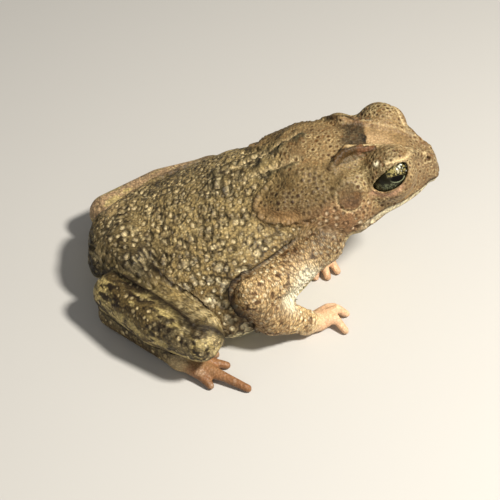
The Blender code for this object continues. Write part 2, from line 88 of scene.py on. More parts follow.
# Each crest of the head as joints in the head's frame, with radii
CRESTS = (
    (((1.3, 1.7, 4.5), (3.1, 2.2, 5.9), (5.4, 2.8, 7.3), (7.9, 3.3, 8.6)), (0.6, 0.6, 0.65, 0.7)),
    (
        ((7.9, 3.3, 8.4), (10.3, 3.7, 9.1), (13.6, 4.1, 10.0), (17.8, 4.7, 10.7)),
        (0.7, 0.75, 0.8, 0.8),
    ),
    (((17.8, 4.7, 10.7), (19.6, 6.2, 10.2), (21.0, 7.8, 9.2)), (0.65, 0.6, 0.4)),
    (((13.4, 8.6, 7.6), (15.8, 9.2, 7.6), (18.6, 9.4, 7.7)), (0.7, 0.8, 0.6)),
    (((4.6, 3.2, 7.0), (5.6, 5.0, 7.6), (6.6, 6.6, 8.0)), (0.6, 0.6, 0.6)),
)

# The one whose pale line lies a little inside and above it
REAR_CREST = CRESTS[2][0]

# Torso: sections across x as (x, half width, bottom, top, height where widest, roundness above it)
TORSO = (
    (-32.0, 8.8, 5.0, 12.3, 8.4, 2.0),
    (-27.0, 13.2, 2.8, 15.3, 7.8, 1.9),
    (-20.0, 19.4, 1.3, 18.9, 6.8, 1.8),
    (-12.0, 23.6, 0.4, 22.9, 6.2, 1.75),
    (-5.0, 24.2, 0.4, 26.2, 6.6, 1.8),
    (2.0, 20.8, 2.2, 29.3, 8.6, 1.75),
    (9.0, 16.4, 7.4, 31.7, 13.6, 1.75),
    (17.0, 12.6, 18.6, 33.2, 22.6, 1.8),
)
TORSO_CAPS = (3.5, 4.5)
TORSO_BOX = ((-43, -30, -3), (30, 30, 40))
BELLY_ROUNDNESS = 2.7

# Head: sections across its own axis, as (behind the snout, half width, bottom, top, height where
# widest, roundness above it)
HEAD = (
    (1.6, 3.9, -1.2, 4.9, 0.8, 2.2),
    (4.0, 6.3, -2.4, 6.8, 0.6, 2.0),
    (7.0, 8.4, -3.3, 8.3, 0.4, 1.85),
    (11.0, 10.5, -4.1, 9.6, 0.1, 1.75),
    (15.5, 12.7, -4.3, 10.6, 0.1, 1.7),
    (20.0, 13.5, -5.3, 10.6, 0.4, 1.75),
    (26.0, 12.6, -6.6, 9.4, 1.0, 1.9),
)
HEAD_CAPS = (2.0, 6.0)
HEAD_BOX = ((-2, -22, 8), (41, 22, 43))
JAW_ROUNDNESS = 2.7

# Gland behind each ear, from its front end to its back end
GLAND_FRONT = (14.0, 7.1, 30.0)
GLAND_BACK = (1.2, 9.5, 25.3)
GLAND_RADII = (3.5, 4.7)
GLAND_ENDS = 2.4

# Fold beside the spine, on one side
BACK_RIDGE = ((-11.0, 2.2, 22.6), (-2.0, 2.8, 26.8), (6.0, 3.4, 30.2), (11.0, 4.0, 31.6))
BACK_RIDGE_RADII = (0.7, 1.0, 1.0, 0.8)

# Joints of the limbs as (x, away from the middle, z)
RIGHT = {
    "shoulder": (11.4, 13.6, 19.0),
    "upper_arm": (4.2, 19.0, 16.6),
    "elbow": (-2.4, 22.6, 14.4),
    "forearm": (1.5, 22.0, 8.0),
    "wrist": (8.0, 19.3, 3.7),
    "hip": (-28.0, 4.5, 9.8),
    "thigh": (-20.6, 18.2, 9.2),
    "knee": (-12.4, 28.2, 10.4),
    "shank_top": (-12.8, 30.4, 9.6),
    "shank": (-21.3, 23.5, 8.6),
    "heel": (-30.1, 14.0, 8.0),
    "tarsus_top": (-30.4, 14.4, 2.85),
    "tarsus": (-16.7, 27.2, 2.4),
}
LEFT = {
    "shoulder": (12.4, 13.8, 19.8),
    "upper_arm": (7.6, 16.0, 15.6),
    "elbow": (3.2, 15.4, 9.4),
    "forearm": (8.6, 10.0, 6.6),
    "wrist": (14.6, 3.4, 3.9),
    "hip": (-28.0, 4.5, 8.6),
    "thigh": (-19.6, 15.8, 7.4),
    "knee": (-9.6, 23.0, 8.2),
    "shank_top": (-9.0, 24.4, 7.8),
    "shank": (-20.6, 19.2, 7.6),
    "heel": (-32.1, 12.7, 6.8),
    "tarsus_top": (-32.0, 13.4, 2.85),
    "tarsus": (-15.8, 23.0, 2.4),
}

# Fingers from the inner one out, each as knuckle and tip
RIGHT_FINGERS = (
    ((10.8, 15.4, 1.8), (11.9, 13.4, 0.8)),
    ((12.9, 13.6, 1.8), (14.6, 12.2, 0.8)),
    ((14.8, 14.6, 2.5), (16.8, 14.5, 0.8)),
    ((14.2, 17.0, 2.2), (16.2, 19.4, 0.8)),
)
LEFT_FINGERS = (
    ((14.9, 0.0, 2.3), (16.2, -1.5, 0.8)),
    ((13.2, -0.9, 2.4), (14.0, -3.2, 0.8)),
    ((11.6, -0.4, 2.3), (11.4, -3.2, 0.8)),
    ((11.0, 1.4, 2.0), (9.0, -0.4, 0.8)),
)
PALM = 1.75

# Toes from the inner one out, each as base and tip: along the foot and away from its middle
TOES = (
    ((1.2, -2.2), (2.1, -5.6)),
    ((2.6, -1.6), (4.9, -5.2)),
    ((3.2, -0.8), (8.2, -3.5)),
    ((3.4, 0.2), (14.7, 0.2)),
    ((2.6, 1.2), (7.9, 2.8)),
)
TOE_HEIGHTS = (2.1, 0.78)
FOOT_HEADING = {-1: math.radians(29.0), 1: math.radians(20.0)}

# Joints and radii along each part of a limb, and the radii from the wrist or heel to a digit's tip
LIMBS = {
    "upper_arm": (("shoulder", "upper_arm", "elbow"), (4.1, 3.6, 3.5)),
    "forearm": (("elbow", "forearm", "wrist"), (3.2, 3.9, 2.4)),
    "thigh": (("hip", "thigh", "knee"), (4.4, 4.2, 3.8)),
    "shank": (("shank_top", "shank", "heel"), (3.8, 4.6, 4.0)),
    "tarsus": (("tarsus_top", "tarsus"), (3.0, 2.5)),
}
FINGER_RADII = (2.0, 1.5, 0.95, 0.8)
TOE_RADII = (2.2, 1.5, 0.95, 0.8)

# Corners of the thin fold of skin in the crook of each elbow, and its thickness
ELBOW_FOLDS = {
    -1: ((8.2, 18.4, 15.2), (5.0, 20.4, 10.0), (-1.0, 22.5, 13.0)),
    1: ((11.2, 15.0, 14.6), (8.6, 11.0, 9.0), (4.6, 15.0, 11.0)),
}
ELBOW_FOLD_THICKNESS = 1.6

# How far along the digits the skin between them reaches, and its thickness
FINGER_WEB = 0.2
TOE_WEB = 0.55
WEB_THICKNESS = 0.9

# Right and left, and the sign of y on each side
SIDES = (("_right", -1), ("_left", 1))

# Width of the rounding where each part or mark joins the skin
BLENDS = {
    "neck": 4.0,
    "ridge": 1.4,
    "lid": 1.8,
    "crest": 1.0,
    "opening": 0.5,
    "ear": 0.9,
    "nostril": 0.8,
    "nostril_pit": 0.3,
    "digit": 0.5,
    "web": 0.7,
    "elbow_fold": 1.2,
    "parotoid": 2.6,
    "upper_arm": 1.4,
    "forearm": 1.2,
    "hand": 1.2,
    "thigh": 0.8,
    "shank": 0.4,
    "tarsus": 0.5,
    "foot": 1.0,
}

# How much wider the thigh's rounding is where it passes into the rump
RUMP_BLEND = 4.5

# Warts: where their rows run along x, the space between rows, the space in a row and their radii
WART_ROWS = (-31.0, 11.0, 3.9)
WART_SPACING = 4.3
WART_RADII = (0.9, 1.45)

# The photographer's eye: heading, height above the level, distance and what it centres on
VIEW_HEADING = math.radians(-3.0)
VIEW_RISE = math.radians(40.0)
VIEW_DISTANCE = 290.0
VIEW_CENTRE = (0.3, 0.0, 12.0)
# In the photograph's pixels: its width, its scale at that centre in pixels to the millimetre, and
# where the centre lies right of and above the middle
PHOTO_WIDTH = 500.0
PHOTO_SCALE = 4.86
PHOTO_CENTRE = (12.0, 22.0)
FILM_WIDTH = 36.0


def vector(*values):
    """Any point or direction as an array."""
    return np.array(values[0] if len(values) == 1 else values, dtype=np.float64)


def length_of(v):
    return np.sqrt((v * v).sum(axis=-1))


def unit(v):
    return v / np.maximum(length_of(v), 1e-9)[..., None]


def mirrored(point, side):
    """A point given with y away from the middle, on side -1 (right) or 1 (left)."""
    return vector(point) * (1.0, side, 1.0)


def blend(a, b, width):
    """The union of two fields, rounded over that width where they meet."""
    h = np.maximum(width - np.abs(a - b), 0.0) / width
    return np.minimum(a, b) - h * h * width * 0.25


def blend_out(a, b, width):
    """The overlap of two fields, with the edge rounded over that width."""
    return -blend(-a, -b, width)


def carve(a, b, width=0.0):
    """Field a without field b, with the edge rounded over that width."""
    return -blend(-a, b, width) if width else np.maximum(a, -b)


def smooth_curve(x, xs, ys):
    """Cubic curve through the points, level beyond its ends."""
    xs, ys = vector(xs), vector(ys)
    slope = np.gradient(ys, xs)
    x = np.clip(x, xs[0], xs[-1])
    i = np.clip(np.searchsorted(xs, x) - 1, 0, len(xs) - 2)
    width = xs[i + 1] - xs[i]
    t = (x - xs[i]) / width
    start = (1 + 2 * t) * (1 - t) ** 2 * ys[i] + t * (1 - t) ** 2 * width * slope[i]
    end = t * t * (3 - 2 * t) * ys[i + 1] + t * t * (t - 1) * width * slope[i + 1]
    return start + end


def bell(value, width, middle=0.0):
    """1 at the middle, falling to 0 over about that width on both sides."""
    return np.exp(-(((value - middle) / width) ** 2))


def oval(a, b, radii):
    """1 on the edge of an oval with those half axes, less inside it and more outside."""
    return np.sqrt((a / radii[0]) ** 2 + (b / radii[1]) ** 2)


def turned(a, b, angle):
    """Two coordinates read along axes that are turned by the angle."""
    c, s = math.cos(angle), math.sin(angle)
    return a * c + b * s, b * c - a * s


def rise(value, start, end):
    """0 before start and 1 after end, smooth between. It falls if end is below start."""
    t = np.clip((value - start) / (end - start), 0.0, 1.0)
    return t * t * (3.0 - 2.0 * t)


class Grid:
    """The points that the fields are sampled at."""

    def __init__(self, low, high, step):
        self.low = vector(low)
        self.step = step
        self.shape = tuple(np.ceil((vector(high) - self.low) / step).astype(int) + 1)

    def block(self, low, high):
        """The part of the grid from low to high, as slices and as points."""
        first = np.clip(np.floor((vector(low) - self.low) / self.step), 0, None).astype(int)
        last = np.ceil((vector(high) - self.low) / self.step).astype(int) + 1
        last = np.minimum(last, self.shape)
        axes = [self.low[i] + self.step * np.arange(first[i], last[i]) for i in range(3)]
        points = np.stack(np.meshgrid(*axes, indexing="ij"), axis=-1)
        return tuple(slice(a, b) for a, b in zip(first, last)), points

    def sample(self, distance, low, high, margin=FAR):
        """The field of distance(points), worked out near its box only and FAR elsewhere."""
        field = np.full(self.shape, FAR, dtype=np.float32)
        part, points = self.block(vector(low) - margin, vector(high) + margin)
        field[part] = np.minimum(distance(points), FAR)
        return field

    def sample_level(self, level, low, high):
        """The field of level(points), turned into millimetres by its own slope."""
        field = np.full(self.shape, FAR, dtype=np.float32)
        part, points = self.block(low, high)
        value = level(points)
        slope = np.sqrt(sum(g * g for g in np.gradient(value, self.step)))
        field[part] = np.minimum(value / np.maximum(slope, 1e-3), FAR)
        return field

    def read(self, field, places):
        """The field at any places, by straight lines between the grid's points."""
        q = (places - self.low) / self.step
        cell = np.clip(np.floor(q).astype(int), 0, vector(self.shape).astype(int) - 2)
        t = q - cell
        total = 0.0
        for corner in itertools.product((0, 1), repeat=3):
            share = np.prod(np.where(corner, t, 1.0 - t), axis=1)
            total = total + share * field[tuple((cell + corner).T)]
        return total


def ellipsoid(points, centre, radii, turn):
    """turn holds the ellipsoid's own axes as rows."""
    q = (points - vector(centre)) @ turn.T
    radii = vector(radii)
    near, steep = length_of(q / radii), length_of(q / radii**2)
    return near * (near - 1.0) / np.maximum(steep, 1e-6)


def cone(points, a, b, radius_a, radius_b):
    """A round-ended limb piece from a to b."""
    a, b = vector(a), vector(b)
    axis = b - a
    t = np.clip(((points - a) @ axis) / (axis @ axis), 0.0, 1.0)
    return length_of(points - a - t[..., None] * axis) - (radius_a + (radius_b - radius_a) * t)


def web_field(grid, corners, thickness, reach, margin):
    """The field of a flat three-cornered skin."""
    normal = unit(np.cross(corners[1] - corners[0], corners[2] - corners[0]))
    middle = corners.sum(axis=0) / 3

    def distance(points):
        field = np.abs((points - corners[0]) @ normal) - thickness / 2
        for start, end in zip(corners, np.roll(corners, -1, axis=0)):
            edge = unit(np.cross(end - start, normal))
            if (middle - start) @ edge > 0:
                edge = -edge
            field = np.maximum(field, (points - start) @ edge)
        return field

    return grid.sample(distance, corners.min(axis=0) - reach, corners.max(axis=0) + reach, margin)


def section_at(x, sections):
    """Half width, bottom, top, widest height and upper roundness of a loft at x."""
    xs, *columns = zip(*sections)
    return [smooth_curve(x, xs, column) for column in columns]


def loft(points, sections, caps, under):
    """How far out a point lies, 0 on the surface of a body with egg-shaped sections across x."""
    x, z = points[..., 0], points[..., 2]
    width, bottom, top, middle, over = section_at(x, sections)
    side = np.abs(points[..., 1]) / width
    above = z > middle
    tall = np.where(above, (z - middle) / (top - middle), (middle - z) / (middle - bottom))
    power = np.where(above, over, under)
    first, last = sections[0][0], sections[-1][0]
    past = np.maximum((first - x) / caps[0], 0) + np.maximum((x - last) / caps[1], 0)
    return (side**power + tall**power + past**power) ** (1 / power) - 1.0


def string_field(grid, line, radii, margin=3):
    """The field of round pieces strung from joint to joint, with a radius at each joint."""

    def distance(points):
        pieces = zip(line, line[1:], radii, radii[1:])
        return np.min([cone(points, *piece) for piece in pieces], axis=0)

    joints, widest = vector(line), max(radii)
    return grid.sample(distance, joints.min(axis=0) - widest, joints.max(axis=0) + widest, margin)


def ball_field(grid, centre, radius, reach, margin):
    ball = lambda p: length_of(p - centre) - radius
    return grid.sample(ball, centre - reach, centre + reach, margin)


def head_axes():
    """Rows: forward, to the left and up, in the head's own frame."""
    c, s = math.cos(HEAD_PITCH), math.sin(HEAD_PITCH)
    return vector(((c, 0.0, s), (0.0, 1.0, 0.0), (-s, 0.0, c)))


def from_head(behind, side, above):
    """A place in the head's frame, as a point of the grid."""
    return vector(SNOUT) + vector(-behind, side, above) @ head_axes()


def to_head(points):
    """Grid points as (behind the snout, side, above the mouth)."""
    return ((points - vector(SNOUT)) @ head_axes().T) * (-1.0, 1.0, 1.0)


def torso_field(grid):
    return grid.sample_level(lambda p: loft(p, TORSO, TORSO_CAPS, BELLY_ROUNDNESS), *TORSO_BOX)


def head_field(grid):
    """Skull and jaws, without lids, crests or ears."""
    return grid.sample_level(lambda p: loft(to_head(p), HEAD, HEAD_CAPS, JAW_ROUNDNESS), *HEAD_BOX)


def mouth_height(behind):
    """The line of the lips, in the head's frame: it drops at the corner of the mouth."""
    return -0.45 + 0.12 * np.cos(behind * 0.6) - 0.13 * np.maximum(behind - 14.0, 0.0) ** 2


def eye_centre(side):
    return from_head(EYE[0], EYE[1] * side, EYE[2])


def eye_axes(side):
    """Rows for one eye, in the grid's frame: along its opening, up across it, and outwards."""
    out = unit(mirrored(EYE_WAY, side))
    along = vector(math.cos(EYE_TILT), 0.0, math.sin(EYE_TILT))
    along = unit(along - (along @ out) * out)
    return vector((along, np.cross(out, along) * -side, out)) @ head_axes()


def eye_opening(points, side):
    """Distance to the oval gap between the lids."""
    a, b, out = np.moveaxis((points - eye_centre(side)) @ eye_axes(side).T, -1, 0)
    a, b = turned(a - OPENING_MIDDLE[0], b - OPENING_MIDDLE[1], OPENING_SLANT)
    return np.maximum((oval(a, b, OPENING_RADII) - 1.0) * OPENING_RADII[1], OPENING_START - out)


def ear_centre(side):
    return from_head(EAR[0], EAR[1] * side, EAR[2])


def ear_turn(side):
    """Rows for one ear drum: along it, up it and outwards."""
    out = unit(vector(0.0, side, EAR_SLOPE)) @ head_axes()
    along = unit(vector(1.0, 0.0, 0.0) - out[0] * out)
    return vector((along, np.cross(out, along), out))


def ear_field(grid, side):
    """The oval rim of one ear drum, taller than it is long."""
    centre, turn = ear_centre(side), ear_turn(side)
    radii = (EAR_RADII[0] + EAR_RIM, EAR_RADII[1] + EAR_RIM)

    def plate(points):
        a, b, out = np.moveaxis((points - centre) @ turn.T, -1, 0)
        edge = (oval(a, b, radii) - 1.0) * radii[0]
        return blend_out(edge, np.abs(out) - EAR_DEPTH / 2 - EAR_RIM_HEIGHT, 0.5)

    return grid.sample(plate, centre - 4, centre + 4, 3)


def add_head_forms(grid, skin):
    """Lids, crests, the rims of the ears and the pits of the nostrils."""
    for side in (-1, 1):
        for *place, radius in LIDS:
            lid = from_head(*mirrored(place, side))
            skin = blend(skin, ball_field(grid, lid, radius, 5, 3), BLENDS["lid"])
        for joints, radii in CRESTS:
            line = [from_head(*mirrored(joint, side)) for joint in joints]
            skin = blend(skin, string_field(grid, line, radii), BLENDS["crest"])
        eye = eye_centre(side)
        gap = grid.sample(lambda p: eye_opening(p, side), eye - 5, eye + 5, 1)
        skin = carve(skin, gap, BLENDS["opening"])
        skin = carve(skin, ball_field(grid, eye, EYE_RADIUS + EYE_ROOM, 5, 1))
        skin = blend(skin, ear_field(grid, side), BLENDS["ear"])
        pit = from_head(*mirrored(NOSTRIL, side))
        way = unit(mirrored(NOSTRIL_WAY, side)) @ head_axes()
        skin = blend(skin, ball_field(grid, pit - way * 0.5, 1.0, 2, 2), BLENDS["nostril"])
        ends, radii = (pit, pit + way * 0.9), (NOSTRIL_RADIUS, NOSTRIL_RADIUS)
        hole = grid.sample(lambda p: cone(p, *ends, *radii), pit - 2, pit + 2, 1)
        skin = carve(skin, hole, BLENDS["nostril_pit"])
    return skin


def gland_field(grid, side):
    front, back = mirrored(GLAND_FRONT, side), mirrored(GLAND_BACK, side)
    along = unit(front - back)
    level = unit(np.cross((0.0, 0.0, 1.0), along))
    turn = vector((along, level, np.cross(along, level)))
    radii = (length_of(front - back) / 2 + GLAND_ENDS, GLAND_RADII[1], GLAND_RADII[0])
    gland = lambda p: ellipsoid(p, (front + back) / 2, radii, turn)
    return grid.sample(gland, np.minimum(front, back) - 6, np.maximum(front, back) + 6, 3)


def joint(name, side):
    return mirrored((RIGHT if side < 0 else LEFT)[name], side)


def finger_lines(side):
    """Joints of each finger from the wrist to the tip."""
    wrist = joint("wrist", side) - (0.0, 0.0, 0.7)
    lines = []
    for knuckle, tip in RIGHT_FINGERS if side < 0 else LEFT_FINGERS:
        knuckle, tip = mirrored(knuckle, side), mirrored(tip, side)
        palm = wrist + (knuckle - wrist) * 0.5
        palm[2] = PALM
        lines.append((wrist, palm, knuckle, tip))
    return lines


def toe_lines(side):
    """Joints of each toe from the heel of the foot to the tip."""
    root = joint("tarsus", side) - (0.0, 0.0, 0.1)
    turn = FOOT_HEADING[side]
    along = vector(math.cos(turn), math.sin(turn) * side, 0.0)
    out = vector(-math.sin(turn), math.cos(turn) * side, 0.0)
    lines = []
    for base, tip in TOES:
        base = root + along * base[0] + out * base[1]
        tip = root + along * tip[0] + out * tip[1]
        base[2], tip[2] = TOE_HEIGHTS
        middle = base * 0.45 + tip * 0.55 + (0.0, 0.0, 0.25)
        lines.append((root, base, middle, tip))
    return lines


def digit_field(grid, lines, radii, web_share):
    """Fingers or toes with the skin between them."""
    field = np.full(grid.shape, FAR, dtype=np.float32)
    for line in lines:
        field = blend(field, string_field(grid, line, radii), BLENDS["digit"])
    for a, b in zip(lines, lines[1:]):
        ends = [line[1] + (line[3] - line[1]) * web_share for line in (a, b)]
        root = (a[1] + b[1]) / 2 - (a[3] - a[1] + b[3] - b[1]) * 0.1
        skin = web_field(grid, vector([root, *ends]), WEB_THICKNESS, 1, 2)
        field = blend(field, skin, BLENDS["web"])
    return field


def limb_fields(grid, side):
    """The field of each part of one arm and one leg."""
    fields = {}
    for name, (joints, radii) in LIMBS.items():
        fields[name] = string_field(grid, [joint(place, side) for place in joints], radii, 5)
    corners = vector([mirrored(corner, side) for corner in ELBOW_FOLDS[side]])
    fold = web_field(grid, corners, ELBOW_FOLD_THICKNESS, 0, 3)
    fields["upper_arm"] = blend(fields["upper_arm"], fold, BLENDS["elbow_fold"])
    fields["hand"] = digit_field(grid, finger_lines(side), FINGER_RADII, FINGER_WEB)
    fields["foot"] = digit_field(grid, toe_lines(side), TOE_RADII, TOE_WEB)
    return fields


def back_ridges(grid):
    """A low fold along each side of the spine, from the neck to the middle of the back."""
    lines = [[mirrored(point, side) for point in BACK_RIDGE] for _, side in SIDES]
    return np.minimum(*(string_field(grid, line, BACK_RIDGE_RADII) for line in lines))


def body_fields(grid):
    """The skin without warts, and the field of each part of the body."""
    parts = {"torso": torso_field(grid), "head": head_field(grid)}
    skin = blend(parts["torso"], parts["head"], BLENDS["neck"])
    skin = blend(skin, back_ridges(grid), BLENDS["ridge"])
    _, points = grid.block(GRID_LOW, GRID_HIGH)
    for suffix, side in SIDES:
        fields = {"parotoid": gland_field(grid, side), **limb_fields(grid, side)}
        for name, field in fields.items():
            width = BLENDS[name]
            if name == "thigh":
                width = width + RUMP_BLEND * rise(points[..., 0], -18.0, -26.0)
            skin = blend(skin, field, width)
            parts[name + suffix] = field
    skin = add_head_forms(grid, skin)
    return np.maximum(skin, FLOOR - points[..., 2]), parts


def hashed(cells, seed):
    """A fixed random number from 0 to 1 for each whole-numbered cell."""
    a, b, c = np.moveaxis(cells, -1, 0)
    n = a * 73856093 ^ b * 19349663 ^ c * 83492791 ^ seed * 40503
    n = (n ^ (n >> 13)) * 1274126177 & 0x7FFFFFFF
    n = (n ^ (n >> 15)) * 668265263 & 0x7FFFFFFF
    return ((n ^ (n >> 11)) & 0xFFFFF) / 0xFFFFF


def noise(points, size, seed=0):
    """Smooth noise from -1 to 1 with lumps of about that size in millimetres."""
    q = points / size + 31.7
    cell = np.floor(q).astype(np.int64)
    t = q - cell
    t = t * t * (3.0 - 2.0 * t)
    total = 0.0
    for corner in itertools.product((0, 1), repeat=3):
        share = np.prod(np.where(corner, t, 1.0 - t), axis=1)
        total = total + share * hashed(cell + vector(corner).astype(np.int64), seed)
    return total * 2.0 - 1.0


def rough_noise(points, size, seed=0, octaves=3):
    """Noise with finer and fainter noise on it, from about -1 to 1."""
    total, share = 0.0, 0.55
    for octave in range(octaves):
        total = total + share * noise(points, size / 2.0**octave, seed + octave * 13)
        share *= 0.55
    return total


def two_noises(points, size, finer, seed, share=0.5):
    """Noise with a share of finer noise on it."""
    return noise(points, size, seed) + share * noise(points, finer, seed + 1)


def pairs_within(points, seeds, reach):
    """Every pair of a point and a seed nearer than reach: the two numbers and the distance."""

    def key(cells):
        return ((cells[:, 0] + 512) * 1024 + cells[:, 1] + 512) * 1024 + cells[:, 2] + 512

    keys = key(np.floor(points / reach).astype(np.int64))
    order = np.argsort(keys, kind="stable")
    keys = keys[order]
    home = np.floor(seeds / reach).astype(np.int64)
    found = []
    for shift in itertools.product((-1, 0, 1), repeat=3):
        wanted = key(home + vector(shift).astype(np.int64))
        first, last = np.searchsorted(keys, wanted, "left"), np.searchsorted(keys, wanted, "right")
        count = last - first
        seed = np.repeat(np.arange(len(seeds)), count)
        before = np.cumsum(count) - count
        point = order[np.arange(count.sum()) + np.repeat(first - before, count)]
        distance = length_of(points[point] - seeds[seed])
        near = distance < reach
        found.append((point[near], seed[near], distance[near]))
    return [np.concatenate(column) for column in zip(*found)]


def scatter(points, spacing, seed):
    """Numbers of points that keep their own spacing from each other, none where it is 0."""
    draw = np.random.default_rng(seed)
    widest = float(spacing.max())
    area = np.maximum(spacing, 0.3) ** 2
    likely = (spacing > 0) / area
    wanted = min(np.count_nonzero(likely), 60000)
    order = draw.choice(len(points), size=wanted, replace=False, p=likely / likely.sum())
    cells, kept = {}, []
    for number in order:
        p, room = points[number], spacing[number]
        home = tuple(int(c) for c in np.floor(p / widest))
        near = [
            other
            for shift in itertools.product((-1, 0, 1), repeat=3)
            for other in cells.get((home[0] + shift[0], home[1] + shift[1], home[2] + shift[2]), ())
        ]
        if near and (length_of(points[near] - p) < room).any():
            continue
        cells.setdefault(home, []).append(number)
        kept.append(number)
    return np.array(kept, dtype=int)


def keep_largest(mesh):
    """Deletes every closed surface of the mesh but the one with the most points."""
    shape = bmesh.new()
    shape.from_mesh(mesh)
    left, pieces = set(shape.verts), []
    while left:
        piece, edge = set(), {left.pop()}
        while edge:
            piece |= edge
            edge = {e.other_vert(v) for v in edge for e in v.link_edges} - piece
        left -= piece
        pieces.append(piece)
    pieces.sort(key=len)
    for piece in pieces[:-1]:
        bmesh.ops.delete(shape, geom=list(piece), context="VERTS")
    shape.to_mesh(mesh)
    shape.free()


def add_object(name, data):
    obj = bpy.data.objects.new(name, data)
    bpy.context.scene.collection.objects.link(obj)
    return obj


def mesh_skin(grid, field):
    """The skin's surface, evened a little and with each face parted in four, in millimetres."""
    volume = openvdb.FloatGrid(1.0)
    volume.copyFromArray(np.ascontiguousarray(field, dtype=np.float32))
    points, quads = volume.convertToQuads(0.0)
    rough = bpy.data.meshes.new("rough_skin")
    rough.from_pydata((points * grid.step + grid.low).tolist(), [], quads[:, ::-1].tolist())
    keep_largest(rough)
    obj = add_object("rough_skin", rough)
    even = obj.modifiers.new("even", "SMOOTH")
    even.factor, even.iterations = 0.35, 2
    finer = obj.modifiers.new("finer", "SUBSURF")
    finer.levels = finer.render_levels = 1
    graph = bpy.context.evaluated_depsgraph_get()
    mesh = bpy.data.meshes.new_from_object(obj.evaluated_get(graph))
    mesh.name = "skin"
    bpy.data.objects.remove(obj, do_unlink=True)
    return add_object("skin", mesh)


# How soft the border is where one part of the body passes into the next
BORDER = 0.55

# Colours as a screen shows them, from 0 to 255
OLIVE = (146, 120, 72)
BACK = (178, 154, 103)
FLANK = (106, 80, 42)
RUMP_SHADE_COLOUR = (54, 46, 29)
BELLY = (248, 236, 182)
HEAD_TAN = (146, 119, 80)
CROWN = (178, 148, 108)
CROWN_DARK = (34, 27, 18)
SNOUT_TAN = (126, 103, 72)
CHEEK = (152, 115, 79)
GLAND = (104, 82, 48)
GLAND_PINK = (176, 136, 90)
ARM = (240, 206, 148)
ARM_BROWN_AND_SHADE = (104, 72, 42)
INNER_ELBOW = (252, 244, 214)
THIGH = (156, 134, 86)
SHANK = (102, 85, 50)
SHANK_YELLOW = (206, 184, 120)
TARSUS = (104, 86, 52)
HAND = (214, 174, 138)
TOE = (140, 98, 64)
WEB = (176, 152, 124)
FAR_LEG = (216, 180, 138)
DARK = (38, 27, 14)
BROWN = (116, 80, 42)
REDDISH = (106, 70, 42)
PORE_AND_SHADE = (60, 42, 24)
CREAM = (252, 240, 204)
TAN = (226, 204, 152)
WHITE = (232, 214, 180)
SHOULDER_SHADE_BROWN = (60, 42, 24)
LENS_OLIVE = (74, 56, 26)
TEMPLE = (128, 112, 76)
PALE_LINE = (222, 198, 150)
EAR_BROWN = (68, 47, 30)
LIP = (228, 218, 182)
LID_PINK = (204, 160, 128)
LID_OLIVE = (74, 64, 40)
SHADE_GREEN = (62, 60, 40)

# The ground colour of each kind of part, in the order in which they are laid
GROUNDS = (
    (HEAD_TAN, "head"),
    (GLAND, "parotoid"),
    (ARM, "upper_arm", "forearm"),
    (THIGH, "thigh"),
    (SHANK, "shank"),
    (TARSUS, "tarsus"),
    (HAND, "hand"),
    (TOE, "foot"),
)

# Which way the warts and the skin's fine folds are drawn out, each with the side away from the
# middle, and how strongly: over the rump along the thigh, down the flanks towards the arm and
# over the back
RUMP_FLOW = ((0.55, 0.83, 0.0), 0.9)
FLANK_FLOW = ((0.8, 0.12, 0.6), 0.6)
BACK_FLOW = ((0.1, 0.9, 0.35), 0.5)
LIMB_FLOW = {"upper_arm": 0.75, "forearm": 0.75, "shank": 0.3}

# Where the dark pore of a wart lies from its top, in radii
PORE_SHIFT = vector(-0.35, 0.0, -0.25)

# The sharp creases, sunk and darkened with painted shade: the two parts that meet, how deep
# they are, and between which x they fade in from the rear and out towards the front
CREASES = (
    ("torso", "upper_arm", 0.7, (-50, -49, 4.0, 9.0)),
    ("torso", "forearm", 0.7, (-50, -49, 4.0, 9.0)),
    ("torso", "thigh", 0.9, (-26.0, -21.0, -8.0, -4.0)),
    ("torso", "shank", 0.7, (-50, -49, -8.0, -4.0)),
    ("thigh", "shank", 0.8, (-31.0, -27.0, -4.0, 0.0)),
    ("shank", "tarsus", 0.5, (-50, -49, -4.0, 0.0)),
    ("shank", "foot", 0.4, (-50, -49, -4.0, 0.0)),
)
# How much weaker they are on the left, which is seen less
LEFT_CREASES = 0.5
# The rear end of the crease over the thigh, with y away from the middle
RUMP_CREASE = ((-26.8, 12.1, 13.0), (-23.8, 13.2, 13.7), (-21.0, 14.2, 13.9), (-18.8, 16.3, 13.5))

# Marks on the body: the folds beside the spine, with y away from the middle, the hollows between
# them with their radii, the pale mid-line, the middles of the painted shade on the rump and at the
# shoulders, and the elbow's pale fold
FOLD_LINE = (
    (-10.8, 2.2, 23.9),
    (-8.7, 1.8, 24.7),
    (-2.8, 2.5, 27.6),
    (1.9, 2.5, 29.8),
    (7.3, 3.8, 32.0),
)
HOLLOWS = (
    ((-0.3, 0.9, 28.7), 1.8),
    ((3.8, 1.7, 31.1), 1.7),
    ((7.7, 1.4, 33.0), 1.6),
    ((-9.0, 1.0, 24.6), 2.0),
)
MID_LINE = ((2.3, 0.0, 30.0), (6.1, -1.5, 32.6), (12.0, -0.8, 34.0))
RUMP_SHADE = (-24.5, -13.0, 15.0)
SHOULDER_SHADES = ((12.0, -14.5, 21.0), (12.5, 14.5, 21.5))
INNER_FOLD = ((7.4, -20.2, 15.6), (5.6, -20.8, 12.2))

